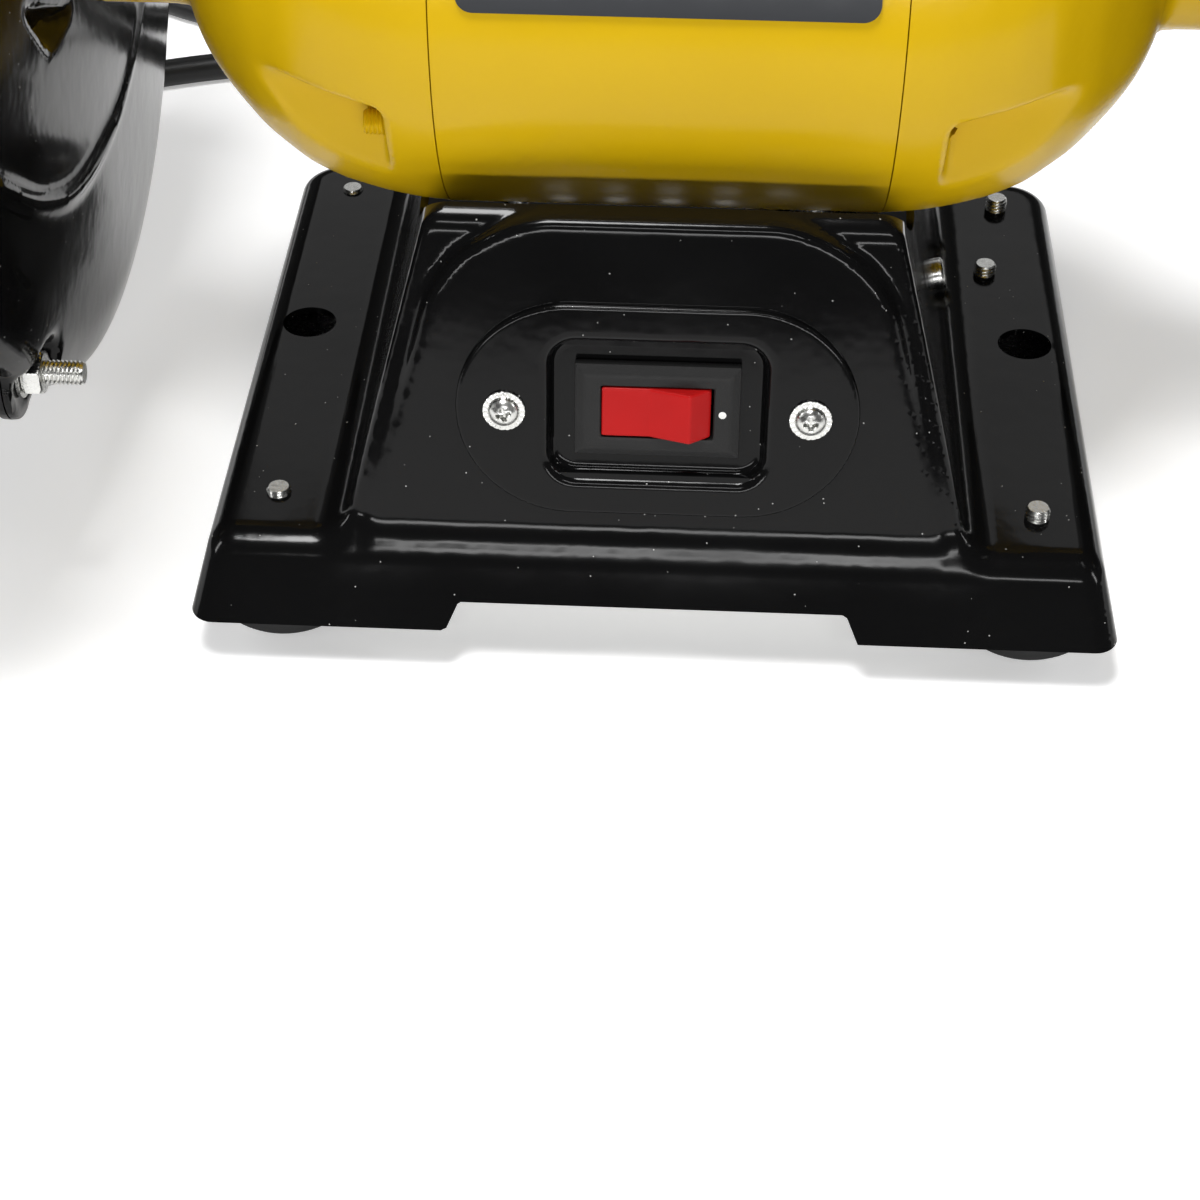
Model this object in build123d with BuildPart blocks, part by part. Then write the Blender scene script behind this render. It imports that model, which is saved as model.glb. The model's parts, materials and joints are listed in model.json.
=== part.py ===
"""Bench grinder with two 150 mm wheels on a pressed steel base.

Frame: +X along the spindle to the right, +Y to the rear, +Z up, z = 0 on the bench top,
x = 0 the middle of the motor and base, y = 0 under the spindle and the row of bench holes.
Left and right are as the user sees them from the front. Millimetres throughout.
"""
from build123d import *
import os
from math import atan, cos, degrees, radians, sin, sqrt, tan

os.makedirs("parts", exist_ok=True)

# ---------------------------------------------------------------- driving dimensions
spindle_z = 122.4               # spindle axis above the bench
gap = 0.3                       # working clearance between parts that move past each other

# rubber feet and pressed base
foot_height, foot_r = 10.5, 13.9
foot_x, foot_front_y, foot_rear_y = 73.6, -59.2, 54.8
skin = 1.5                      # pressed steel sheet
cover_play_x, cover_play_y = 7.0, 22.0  # bottom cover smaller than the rim's outside
wall_depth = 2.1                # from a leaning wall's face to clear of its inside
ledge_z = 25.8
rim_x, rim_front_y, rim_rear_y = 89.2, -81.3, 71.5      # flange's bottom edge
ledge_x, ledge_front_y, ledge_rear_y = 85.0, -73.0, 67.5  # and its top, before the fold
fold_r, front_corner_r, rear_corner_r = 3.5, 4.5, 8.0
saddle_corner_r, saddle_edge_r = 4.5, 3.5
saddle_root = 4.0               # how far the saddle is drawn down into the ledge
saddle_top_z = 90.0
cradle_ease = 6.0               # the cradle's radius over the motor's, so that it bears at the bottom
saddle_foot_x, saddle_top_x = 59.5, 42.4
saddle_foot_front_y, saddle_top_front_y = -70.9, -61.2
saddle_foot_rear_y, saddle_top_rear_y = 64.0, 55.0
notch_half_x, notch_top_z, notch_depth = 37.0, 15.5, 7.0
bench_hole_x, bench_hole_r = 75.9, 5.66
foot_places = [(-foot_x, foot_front_y), (foot_x, foot_front_y), (-foot_x, foot_rear_y), (foot_x, foot_rear_y)]
earth_place = (69.3, 27.6)
mount_places = [(x, y) for x in (-30, 30) for y in (-14, 14)]   # bolts up into the motor
clip_y, clip_z = 13.5, 33.9     # screw of the capacitor clip in the right-hand wall
gland_x, gland_z = -22.0, 46.0  # cable gland in the rear wall

# switch panel on the front of the saddle
panel_z, plate_t = 53.2, 1.2
plate_half_run, plate_end_r = 15.96, 21.43
plate_screw_x = 28.3
recess_x, recess_y, recess_depth = 41.0, 29.0, 3.5
bezel_x, bezel_y, bezel_t = 30.6, 18.6, 3.0
rocker_x, rocker_y = 20.8, 10.5  # opening in the bezel
rocker_half_tilt = 14.0

# motor
motor_r, housing_t, housing_half = 56.2, 2.0, 40.7
bell_t = 3.2
bell_outline = [(40.7, 56.2), (54.0, 54.5), (67.5, 50.0), (75.6, 43.7), (81.9, 36.9),
                (86.0, 31.5), (88.2, 27.9), (90.0, 20.7)]
neck_r, neck_bore_r = 20.7, 9.0
tie_y, tie_rise, tie_screw_r, tie_head_r = 46.0, 22.0, 2.5, 3.5  # four tie bolts
tie_head_x, tie_tip_x = 47.2, -54.2
pocket_x, pocket_y, pocket_rise = 50.2, 43.4, 16.3      # where each bolt pocket's walls stand
pocket_wall = 6.2               # metal left behind a pocket's end wall
bearing_x0, bearing_x1, bearing_bore_r, bearing_r = 66.0, 77.0, 7.5, 17.5
stator_half, rotor_r = 22.0, 29.5
stator_r, stator_bore_r = 54.1, 30.0

# guards and wheels: "out" is the distance outward from each guard's inner face
guard_x = {-1: 108.0, 1: 119.0}
guard_r, guard_split = 94.5, 13.5
cover_out = 48.0
mouth_low, mouth_high, mouth_r = -20.0, 62.0, 62.0
ear_angles = (-48.7, -165.0, 112.0)
ear_circle_r, ear_r = 91.8, 9.2
neck_screw_circle_r = 14.9      # three screws hold each guard to its neck
wheel_r, wheel_w, wheel_out = 75.0, 20.0, 10.0
arbor_r, flange_r = 6.35, 27.0

# tool rests, spark arrestors and eye shields
rest_z, rest_t, rest_gap = 118.0, 3.0, 2.6
rest_travel, arrestor_travel = 12.0, 8.0
shield_y, shield_z, shield_droop = -48.0, 236.0, 40.0

# mains lead
cord_r = 3.5
coil_x, coil_y, coil_in_r, coil_out_r, coil_h = 22.0, 156.0, 31.5, 45.5, 21.0

SIDES = {"left": -1, "right": 1}

# ---------------------------------------------------------------- planes and helpers
lean_front = degrees(atan((saddle_top_front_y - saddle_foot_front_y) / (saddle_top_z - ledge_z)))
lean_rear = degrees(atan((saddle_foot_rear_y - saddle_top_rear_y) / (saddle_top_z - ledge_z)))
lean_side = degrees(atan((saddle_foot_x - saddle_top_x) / (saddle_top_z - ledge_z)))
spindle_axis = Axis((0, 0, spindle_z), (1, 0, 0))


def front_y(z):
    """Where the leaning front panel is at height z."""
    return saddle_foot_front_y + (z - ledge_z) * tan(radians(lean_front))


def panel_plane(n):
    """Plane parallel to the front panel, n outward from its skin, at the switch's centre."""
    out = (0, -cos(radians(lean_front)), sin(radians(lean_front)))
    origin = (0, front_y(panel_z) + n * out[1], panel_z + n * out[2])
    return Plane(origin=origin, x_dir=(1, 0, 0), z_dir=out)


def wall_plane(n):
    """Plane parallel to the saddle's right wall, n outward from its skin, at the clip screw."""
    out = (cos(radians(lean_side)), 0, sin(radians(lean_side)))
    foot = saddle_foot_x - (clip_z - ledge_z) * tan(radians(lean_side))
    return Plane(origin=(foot + n * out[0], clip_y, clip_z + n * out[2]), x_dir=(0, 1, 0), z_dir=out)


def rear_plane(n):
    """Plane parallel to the saddle's rear wall, n outward from its skin, at the cable gland."""
    out = (0, cos(radians(lean_rear)), sin(radians(lean_rear)))
    foot = saddle_foot_rear_y - (gland_z - ledge_z) * tan(radians(lean_rear))
    return Plane(origin=(gland_x, foot + n * out[1], gland_z + n * out[2]), x_dir=(-1, 0, 0), z_dir=out)


def axis_plane(side=1, x=0):
    """Half-section of the tool: local x outward along the spindle from x, local y the radius."""
    return Plane(origin=(side * x, 0, spindle_z), x_dir=(side, 0, 0), z_dir=(0, -side, 0))


def face_plane(side, x):
    """Plane square to the spindle at x, facing outward, local x to the rear times side, local y up."""
    return Plane(origin=(side * x, 0, spindle_z), x_dir=(0, side, 0), z_dir=(side, 0, 0))


def side_plane(side):
    """Half-section of one wheel end: local x outward from the guard's face, local y the radius."""
    return axis_plane(side, guard_x[side])


def cross_plane(side, out):
    """Plane square to the spindle, out from the guard's inner face."""
    return face_plane(side, guard_x[side] + out)


def around(side, r, angle):
    """Point in a cross plane, at an angle up from straight ahead of the spindle."""
    return (-side * r * cos(radians(angle)), r * sin(radians(angle)))


def save(piece, name):
    piece.label = name
    export_step(piece, f"parts/{name}.step")


def turned(plane, points):
    """Solid of revolution about the spindle from an outline in a half-section plane."""
    with BuildPart() as made:
        with BuildSketch(plane):
            with BuildLine():
                Polyline(*points, close=True)
            make_face()
        revolve(axis=spindle_axis)
    return made.part


# ---------------------------------------------------------------- pressed base
def tapered(levels, inset):
    """Loft between level rectangles, each (height, half width, front, rear), drawn in by inset."""
    with BuildPart() as made:
        for z, half_x, front, rear in levels:
            with BuildSketch(Plane.XY.offset(z)):
                with Locations((0, (front + rear) / 2)):
                    Rectangle(2 * (half_x - inset), rear - front - 2 * inset)
        loft()
    return made.part


def base_block(inset):
    """The base filled in, drawn in by one skin thickness for its inside."""
    with BuildPart() as block:
        add(tapered([(foot_height, rim_x, rim_front_y, rim_rear_y),
                     (ledge_z - inset, ledge_x, ledge_front_y, ledge_rear_y)], inset))
        corners = block.edges().filter_by(lambda e: abs(e.tangent_at(0).Z) > 0.7).group_by(Axis.Y)
        fillet(corners[-1], rear_corner_r - inset)
        fillet(corners[0], front_corner_r - inset)
        fillet(block.faces().sort_by(Axis.Z)[-1].edges(), fold_r - inset)
    root_z = ledge_z - saddle_root
    root_x = saddle_foot_x + saddle_root * tan(radians(lean_side))
    root_rear_y = saddle_foot_rear_y + saddle_root * tan(radians(lean_rear))
    with BuildPart() as saddle:
        add(tapered([(root_z - inset, root_x, front_y(root_z), root_rear_y),
                     (saddle_top_z - inset, saddle_top_x, saddle_top_front_y, saddle_top_rear_y)], inset))
        uprights = saddle.edges().filter_by(lambda e: abs(e.tangent_at(0).Z) > 0.7)
        fillet(uprights, saddle_corner_r - inset)
        fillet(saddle.faces().sort_by(Axis.Z)[-1].edges(), saddle_edge_r - inset)
        with BuildSketch(Plane.YZ):
            with Locations((0, spindle_z + cradle_ease)):
                Circle(motor_r + gap + cradle_ease + inset)
        extrude(amount=saddle_foot_x, both=True, mode=Mode.SUBTRACT)
    return block.part + saddle.part


outer, inner = base_block(0), base_block(skin)
with BuildPart() as base_pan:
    add(outer)
    add(inner, mode=Mode.SUBTRACT)
    with BuildSketch(Plane.XZ.offset(-rim_front_y - notch_depth)):
        with BuildLine():
            Polyline((-notch_half_x - 2.5, foot_height - 1), (-notch_half_x, notch_top_z),
                     (notch_half_x, notch_top_z), (notch_half_x + 2.5, foot_height - 1), close=True)
        make_face()
    extrude(amount=notch_depth + 1, mode=Mode.SUBTRACT)
    with BuildSketch(Plane.XY.offset(ledge_z)):
        with Locations((-bench_hole_x, 0), (bench_hole_x, 0)):
            Circle(bench_hole_r)
        with Locations(*foot_places, earth_place):
            Circle(2.5)
    extrude(amount=-2 * skin, mode=Mode.SUBTRACT)
    with BuildSketch(panel_plane(skin)):
        RectangleRounded(recess_x + 1, recess_y + 1, 5)
        with Locations((-plate_screw_x, 0), (plate_screw_x, 0)):
            Circle(2)
    extrude(amount=-3 * skin, mode=Mode.SUBTRACT)
    with Locations(*[(x, y, spindle_z - motor_r) for x, y in mount_places]):
        Cylinder(2.5, 20, mode=Mode.SUBTRACT)
    with BuildSketch(wall_plane(skin)):
        Circle(2)
    extrude(amount=-4 * skin, mode=Mode.SUBTRACT)
    with BuildSketch(rear_plane(skin)):
        Circle(6.5)
    extrude(amount=-4 * skin, mode=Mode.SUBTRACT)
save(base_pan.part, "base_pan")

with BuildPart() as bottom_cover:
    with BuildSketch(Plane.XY.offset(foot_height)):
        with Locations((0, (rim_front_y + rim_rear_y) / 2)):
            RectangleRounded(2 * rim_x - cover_play_x, rim_rear_y - rim_front_y - cover_play_y, 4)
    extrude(amount=1.2)
    with BuildSketch(Plane.XY.offset(foot_height)):
        with Locations(*foot_places):
            Circle(2.5)
        with Locations((-bench_hole_x, 0), (bench_hole_x, 0)):
            Circle(bench_hole_r)
        with GridLocations(12, 30, 5, 2):
            SlotOverall(18, 4, rotation=90)
    extrude(amount=2, mode=Mode.SUBTRACT)
save(bottom_cover.part, "bottom_cover")

with BuildPart() as rubber_feet:
    with BuildSketch():
        with Locations(*foot_places):
            Circle(foot_r)
    extrude(amount=foot_height)
    chamfer(rubber_feet.edges().group_by(Axis.Z)[0], 1.2)
    for hole_r, depth in ((2.5, foot_height), (5.2, 6.9)):
        with BuildSketch():
            with Locations(*foot_places):
                Circle(hole_r)
        extrude(amount=depth, mode=Mode.SUBTRACT)
save(rubber_feet.part, "rubber_feet")

with BuildPart() as foot_screws:
    with BuildSketch(Plane.XY.offset(3.6)):
        with Locations(*foot_places):
            Circle(4.6)
    extrude(amount=3.3)
    with BuildSketch(Plane.XY.offset(3.6)):
        with Locations(*foot_places):
            Circle(2.45)
    extrude(amount=25.2)
    chamfer(foot_screws.faces().filter_by(Axis.Z).sort_by(Axis.Z)[-4:].edges(), 0.5)
save(foot_screws.part, "foot_screws")

with BuildPart() as earth_screw:
    with BuildSketch(Plane.XY.offset(ledge_z - skin - 3)):
        with Locations(earth_place):
            RegularPolygon(4.4, 6)
    extrude(amount=3)
    with BuildSketch(Plane.XY.offset(ledge_z - skin - 3)):
        with Locations(earth_place):
            Circle(2.45)
    extrude(amount=7)
    chamfer(earth_screw.faces().sort_by(Axis.Z)[-1].edges(), 0.5)
save(earth_screw.part, "earth_screw")

# ---------------------------------------------------------------- switch
with BuildPart() as switch_plate:
    with BuildSketch(panel_plane(0)):
        SlotCenterToCenter(2 * plate_half_run, 2 * plate_end_r)
    extrude(amount=plate_t)
    with BuildSketch(panel_plane(plate_t - recess_depth - 1)):
        RectangleRounded(recess_x, recess_y, 4.5)
    extrude(amount=recess_depth)
    with BuildSketch(panel_plane(plate_t - recess_depth)):
        RectangleRounded(recess_x - 2, recess_y - 2, 3.5)
    extrude(amount=recess_depth, mode=Mode.SUBTRACT)
    with BuildSketch(panel_plane(2 * plate_t)):
        Rectangle(27.2, 15.2)
        with Locations((-plate_screw_x, 0), (plate_screw_x, 0)):
            Circle(2)
    extrude(amount=-10, mode=Mode.SUBTRACT)
save(switch_plate.part, "switch_plate")

with BuildPart() as switch_plate_washers:
    with BuildSketch(panel_plane(plate_t)):
        with Locations((-plate_screw_x, 0), (plate_screw_x, 0)):
            Circle(3.9)
            Circle(2, mode=Mode.SUBTRACT)
    extrude(amount=0.6)
save(switch_plate_washers.part, "switch_plate_washers")

screw_head = plate_t + 0.6
with BuildPart() as switch_plate_screws:
    with BuildSketch(panel_plane(screw_head)):
        with Locations((-plate_screw_x, 0), (plate_screw_x, 0)):
            Circle(3.3)
    extrude(amount=2)
    fillet(switch_plate_screws.faces().filter_by(panel_plane(0)).sort_by(Axis.Y)[:2].edges(), 1.2)
    with BuildSketch(panel_plane(screw_head)):
        with Locations((-plate_screw_x, 0), (plate_screw_x, 0)):
            Circle(1.95)
    extrude(amount=-8)
    with BuildSketch(panel_plane(screw_head + 2.2)):
        with Locations((-plate_screw_x, 0), (plate_screw_x, 0)):
            Rectangle(3.2, 0.7)
            Rectangle(0.7, 3.2)
    extrude(amount=-1.4, mode=Mode.SUBTRACT)
save(switch_plate_screws.part, "switch_plate_screws")

bezel_n = plate_t - recess_depth            # the bezel sits on the floor of the recess
pivot_n = bezel_n + bezel_t - 3.0
with BuildPart() as switch_body:
    with BuildSketch(panel_plane(bezel_n)):
        Rectangle(bezel_x, bezel_y)
    extrude(amount=bezel_t)
    chamfer(switch_body.faces().sort_by(Axis.Y)[0].edges(), 1.2)
    with BuildSketch(panel_plane(bezel_n)):
        Rectangle(26.8, 14.8)
    extrude(amount=-17)
    with BuildSketch(panel_plane(bezel_n + bezel_t)):
        Rectangle(rocker_x, rocker_y)
    extrude(amount=-15, mode=Mode.SUBTRACT)
save(switch_body.part, "switch_body")

panel = panel_plane(pivot_n)
tilt = radians(rocker_half_tilt)
rocker_plane = Plane(origin=panel.origin, x_dir=panel.x_dir * cos(tilt) + panel.z_dir * sin(tilt),
                     z_dir=-panel.y_dir)
with BuildPart() as rocker:
    with BuildSketch(rocker_plane):
        with BuildLine():
            Polyline((0, 3.2), (6.8, 4.9), (9.8, 1.6), (9.0, -4), (4, -7.5),
                     (-4, -7.5), (-9.0, -4), (-9.8, 1.6), (-6.8, 4.9), close=True)
        make_face()
    extrude(amount=rocker_y / 2 - gap, both=True)
save(rocker.part, "rocker")

with BuildPart() as switch_terminals:
    with BuildSketch(panel_plane(bezel_n - 17)):
        with Locations((-8, 0), (0, 0), (8, 0)):
            Rectangle(0.8, 6.3)
    extrude(amount=-8)
save(switch_terminals.part, "switch_terminals")

# ---------------------------------------------------------------- motor
tie_places = [(y, z) for y in (-tie_y, tie_y) for z in (-tie_rise, tie_rise)]

with BuildPart() as motor_housing:
    add(turned(axis_plane(), [(-housing_half, motor_r), (housing_half, motor_r),
                              (housing_half, motor_r - housing_t), (-housing_half, motor_r - housing_t)]))
    with Locations(*[(x, y, spindle_z - motor_r) for x, y in mount_places]):
        Cylinder(2.5, 20, mode=Mode.SUBTRACT)
save(motor_housing.part, "motor_housing")

with BuildPart() as motor_mount_bolts:
    with BuildSketch(Plane.XY.offset(59)):
        with Locations(*mount_places):
            RegularPolygon(4.6, 6)
    extrude(amount=3.6)
    with BuildSketch(Plane.XY.offset(59)):
        with Locations(*mount_places):
            Circle(2.45)
    extrude(amount=12.5)
save(motor_mount_bolts.part, "motor_mount_bolts")

with BuildPart() as name_plate:
    add(turned(axis_plane(), [(-36, motor_r + 0.6), (36, motor_r + 0.6), (36, motor_r), (-36, motor_r)]))
    with BuildSketch(Plane.XZ.offset(motor_r / 2)):
        with Locations((0, spindle_z + 5.1 + 17)):
            RectangleRounded(72, 34, 3)
    extrude(amount=motor_r, mode=Mode.INTERSECT)
save(name_plate.part, "name_plate")


def bell_inside():
    """The bell's outline drawn in by the casting's thickness."""
    inside = []
    for (x0, r0), (x1, r1) in zip(bell_outline, bell_outline[1:-1]):
        slope = sqrt((x1 - x0) ** 2 + (r1 - r0) ** 2)
        inside.append((x0 + bell_t * (r1 - r0) / slope, r0 - bell_t * (x1 - x0) / slope))
    return [(housing_half, bell_outline[0][1] - bell_t)] + inside[1:]


def pocket_corners(wall):
    """Four corner areas outside a bell's bolt pockets, drawn in by a wall thickness."""
    reach_y, reach_z = 30, 40       # past the outside of the bell
    for toward_y in (-1, 1):
        for toward_z in (-1, 1):
            with Locations((toward_y * (pocket_y - wall + reach_y / 2),
                            toward_z * (pocket_rise - wall + reach_z / 2))):
                RectangleRounded(reach_y, reach_z, 3)


def make_bell(side):
    """End bell: domed casting, long neck to the guard, bearing pocket and four bolt pockets."""
    reach = guard_x[side]
    plane = axis_plane(side)
    hub_r = bearing_r + 4
    inside = bell_inside()

    with BuildPart() as solid_bell:
        with BuildSketch(plane):
            with BuildLine():
                Spline(*bell_outline)
                Polyline(bell_outline[-1], (reach, neck_r), (reach, 0), (housing_half, 0), bell_outline[0])
            make_face()
        revolve(axis=spindle_axis)
    with BuildPart() as bosses:
        with BuildSketch(face_plane(side, pocket_x - pocket_wall)):
            pocket_corners(bell_t)
        extrude(amount=36)
        add(solid_bell.part, mode=Mode.INTERSECT)
    with BuildPart() as bell:
        add(solid_bell.part)
        add(turned(plane, [(housing_half, 0), *inside, (inside[-1][0], hub_r), (bearing_x0 - 2, hub_r),
                           (bearing_x0 - 2, 0)]), mode=Mode.SUBTRACT)
        add(bosses.part)
        with BuildSketch(face_plane(side, pocket_x)):
            pocket_corners(0)
        extrude(amount=50, mode=Mode.SUBTRACT)
        with BuildSketch(face_plane(side, housing_half)):
            with Locations(*tie_places):
                Circle(tie_screw_r + 0.1)
        extrude(amount=20, mode=Mode.SUBTRACT)
        if side > 0:
            with BuildSketch(face_plane(side, tie_head_x)):
                with Locations(*tie_places):
                    Circle(tie_head_r + 0.1)
            extrude(amount=20, mode=Mode.SUBTRACT)
        for radius, x0, x1 in ((bearing_r + 0.02, 0, bearing_x1 + 0.2), (neck_bore_r, 0, reach)):
            add(turned(plane, [(x0, 0), (x1, 0), (x1, radius), (x0, radius)]), mode=Mode.SUBTRACT)
        with BuildSketch(face_plane(side, reach)):
            with PolarLocations(neck_screw_circle_r, 3, start_angle=90):
                Circle(2.05)
        extrude(amount=-12, mode=Mode.SUBTRACT)
    return bell.part


for name, side in SIDES.items():
    save(make_bell(side), f"{name}_end_bell")

with BuildPart() as tie_bolts:
    for x0, x1, radius in ((tie_tip_x, tie_head_x, tie_screw_r), (tie_head_x, pocket_x - 0.2, tie_head_r)):
        with BuildSketch(face_plane(1, x0)):
            with Locations(*tie_places):
                Circle(radius)
        extrude(amount=x1 - x0)
save(tie_bolts.part, "tie_bolts")

with BuildPart() as stator_core:
    add(turned(axis_plane(), [(-stator_half, stator_r), (stator_half, stator_r), (stator_half, stator_bore_r),
                              (-stator_half, stator_bore_r)]))
    with BuildSketch(face_plane(1, -stator_half)):
        with Locations(*tie_places):
            Rectangle(12, 6.4)
        with PolarLocations(36, 24):
            Rectangle(10, 3)
    extrude(amount=2 * stator_half, mode=Mode.SUBTRACT)
save(stator_core.part, "stator_core")

with BuildPart() as stator_windings:
    for side in (-1, 1):
        with BuildSketch(axis_plane()):
            with Locations((side * (stator_half + 7.2), 38.5)):
                RectangleRounded(13.6, 11.5, 4)
        revolve(axis=spindle_axis)
save(stator_windings.part, "stator_windings")

with BuildPart() as rotor_core:
    add(turned(axis_plane(), [(-stator_half - 4, rotor_r), (stator_half + 4, rotor_r),
                              (stator_half + 4, 9.02), (-stator_half - 4, 9.02)]))
    with BuildSketch(face_plane(1, -stator_half - 4)):
        with PolarLocations(20, 6):
            Circle(3)
    extrude(amount=2 * stator_half + 8, mode=Mode.SUBTRACT)
save(rotor_core.part, "rotor_core")

# ---------------------------------------------------------------- spindle and bearings
flange_in, flange_t, blotter_t = 4.6, 4.8, 0.6
wheel_end = wheel_out + wheel_w
nut_out = wheel_end + blotter_t + flange_t
spindle_end = nut_out + 9.5
half_profile = {side: [(side * (guard_x[side] + spindle_end), 5.4),
                       (side * (guard_x[side] + spindle_end - 0.8), 5.95),
                       (side * (guard_x[side] + nut_out), 5.95),
                       (side * (guard_x[side] + nut_out), arbor_r - 0.01),
                       (side * (guard_x[side] + flange_in), arbor_r - 0.01),
                       (side * (guard_x[side] + flange_in), bearing_bore_r - 0.01),
                       (side * (bearing_x0 - 1), bearing_bore_r - 0.01),
                       (side * (bearing_x0 - 1), 9.0)] for side in (-1, 1)}
with BuildPart() as spindle:
    add(turned(axis_plane(), [(-guard_x[-1] - spindle_end, 0), *half_profile[-1],
                              *reversed(half_profile[1]), (guard_x[1] + spindle_end, 0)]))
save(spindle.part, "spindle")

middle = (bearing_x0 + bearing_x1) / 2
with BuildPart() as bearing_outer_rings:
    for side in (-1, 1):
        add(turned(axis_plane(), [(side * bearing_x0, bearing_r), (side * bearing_x1, bearing_r),
                                  (side * bearing_x1, 14.2), (side * (middle + 3), 14.2),
                                  (side * (middle + 2), 15.3), (side * (middle - 2), 15.3),
                                  (side * (middle - 3), 14.2), (side * bearing_x0, 14.2)]))
save(bearing_outer_rings.part, "bearing_outer_rings")

with BuildPart() as bearing_inner_rings:
    for side in (-1, 1):
        add(turned(axis_plane(), [(side * bearing_x0, 9.9), (side * bearing_x1, 9.9),
                                  (side * bearing_x1, bearing_bore_r), (side * bearing_x0, bearing_bore_r)]))
        for k in range(8):
            turn = radians(360 / 8 * k)
            with Locations((side * middle, 12.6 * cos(turn), spindle_z + 12.6 * sin(turn))):
                Sphere(2.6)
save(bearing_inner_rings.part, "bearing_inner_rings")

# ---------------------------------------------------------------- capacitor in the base
capacitor_at, capacitor_r = (31.0, 31.5), 15.0
with BuildPart() as run_capacitor:
    with BuildSketch(Plane.XZ.offset(-38)):
        with Locations(capacitor_at):
            Circle(capacitor_r)
    extrude(amount=50)
    fillet(run_capacitor.edges().filter_by(GeomType.CIRCLE), 1.5)
save(run_capacitor.part, "run_capacitor")

with BuildPart() as capacitor_clip:
    with BuildSketch(Plane.XZ.offset(-clip_y)):
        with Locations(capacitor_at):
            Circle(capacitor_r + 1.3)
            with Locations((capacitor_r + 3, 2.4)):
                Rectangle(5, 3)
            Circle(capacitor_r + 0.05, mode=Mode.SUBTRACT)
    extrude(amount=5, both=True)
    with BuildSketch(wall_plane(-wall_depth)):
        Rectangle(10, 9)
    extrude(amount=-1.5)
    with BuildSketch(wall_plane(0)):
        Circle(2)
    extrude(amount=-8, mode=Mode.SUBTRACT)
save(capacitor_clip.part, "capacitor_clip")

with BuildPart() as clip_screw:
    with BuildSketch(wall_plane(0)):
        Circle(3.4)
    extrude(amount=1.8)
    fillet(clip_screw.faces().sort_by(Axis.X)[-1].edges(), 0.9)
    with BuildSketch(wall_plane(-6)):
        Circle(1.95)
    extrude(amount=6)
save(clip_screw.part, "clip_screw")

# ---------------------------------------------------------------- guards
shell_outline = [(0, 10), (0, 72.5), (3.2, 90), (7.5, guard_r), (guard_split, guard_r),
                 (guard_split, guard_r - skin), (8.1, guard_r - skin), (4.6, 89.2), (skin, 72.3), (skin, 10)]
cover_outline = [(guard_split, guard_r), (41, guard_r), (44.5, 91.5), (cover_out, 80), (cover_out, 0),
                 (cover_out - skin, 0), (cover_out - skin, 79.7), (43.3, 90.3), (40.4, guard_r - skin),
                 (guard_split, guard_r - skin)]
cup_r = ear_r - skin


def mouth(side):
    """The open sector at the front of a guard, where the work meets the wheel."""
    steps = 6
    arc = [mouth_low + (mouth_high - mouth_low) * k / steps for k in range(steps + 1)]
    far = 125.0
    with BuildPart() as opening:
        with BuildSketch(cross_plane(side, -1)):
            with BuildLine():
                inner_arc = ThreePointArc(around(side, mouth_r, mouth_low),
                                          around(side, mouth_r, (mouth_low + mouth_high) / 2),
                                          around(side, mouth_r, mouth_high))
                Polyline(inner_arc @ 1, *[around(side, far, a) for a in reversed(arc)], inner_arc @ 0)
            make_face()
        extrude(amount=cover_out + 2)
        fillet(opening.edges().filter_by(Axis.X).group_by(
            lambda e: round(sqrt(e.center().Y ** 2 + (e.center().Z - spindle_z) ** 2)))[0], 6)
    return opening.part


def make_dish(side, outline, ear_out, cup_from, cup_to):
    """One pressed half of a guard, with a lug and a relief cup at each joining bolt."""
    outside = [point for point in outline[:5] if point[1]]
    filled = turned(side_plane(side), [(outside[0][0], 0), *outside, (outside[-1][0], 0)])
    opening = mouth(side)
    with BuildPart() as cups:
        with BuildSketch(cross_plane(side, cup_from)):
            for a in ear_angles:
                with Locations(around(side, ear_circle_r, a)):
                    Circle(ear_r)
                    Circle(cup_r, mode=Mode.SUBTRACT)
        extrude(amount=cup_to - cup_from)
        add(filled, mode=Mode.INTERSECT)
    with BuildPart() as dish:
        add(turned(side_plane(side), outline))
        with BuildSketch(cross_plane(side, 0)):
            with Locations(*[around(side, ear_circle_r, a) for a in ear_angles]):
                Circle(cup_r)
        extrude(amount=cover_out + 2, mode=Mode.SUBTRACT)
        add(cups.part)
        with BuildSketch(cross_plane(side, ear_out)):
            with Locations(*[around(side, ear_circle_r, a) for a in ear_angles]):
                Circle(ear_r)
        extrude(amount=skin)
        add(opening, mode=Mode.SUBTRACT)
        with BuildSketch(cross_plane(side, ear_out)):
            with Locations(*[around(side, ear_circle_r, a) for a in ear_angles]):
                Circle(2.6)
        extrude(amount=skin, mode=Mode.SUBTRACT)
    return dish.part


def tangent_plane(side, out, angle, n):
    """Plane on a guard's rim: local x to the left, local y forward along the rim, z away from it."""
    away = (0, -cos(radians(angle)), sin(radians(angle)))
    forward = Vector(0, -sin(radians(angle)), -cos(radians(angle)))
    reach = guard_r + n
    origin = Vector(side * (guard_x[side] + out), reach * away[1], spindle_z + reach * away[2])
    return Plane(origin=origin, x_dir=forward.cross(Vector(*away)), z_dir=away)


arrestor_angle = 68.0
bracket_angle = 90.0
arrestor_screw_out = (22.0, 38.0)
bracket_screw_out = 27.0
rest_bolt_y, rest_bolt_z = (-54.0, -34.0), 106.0

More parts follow.
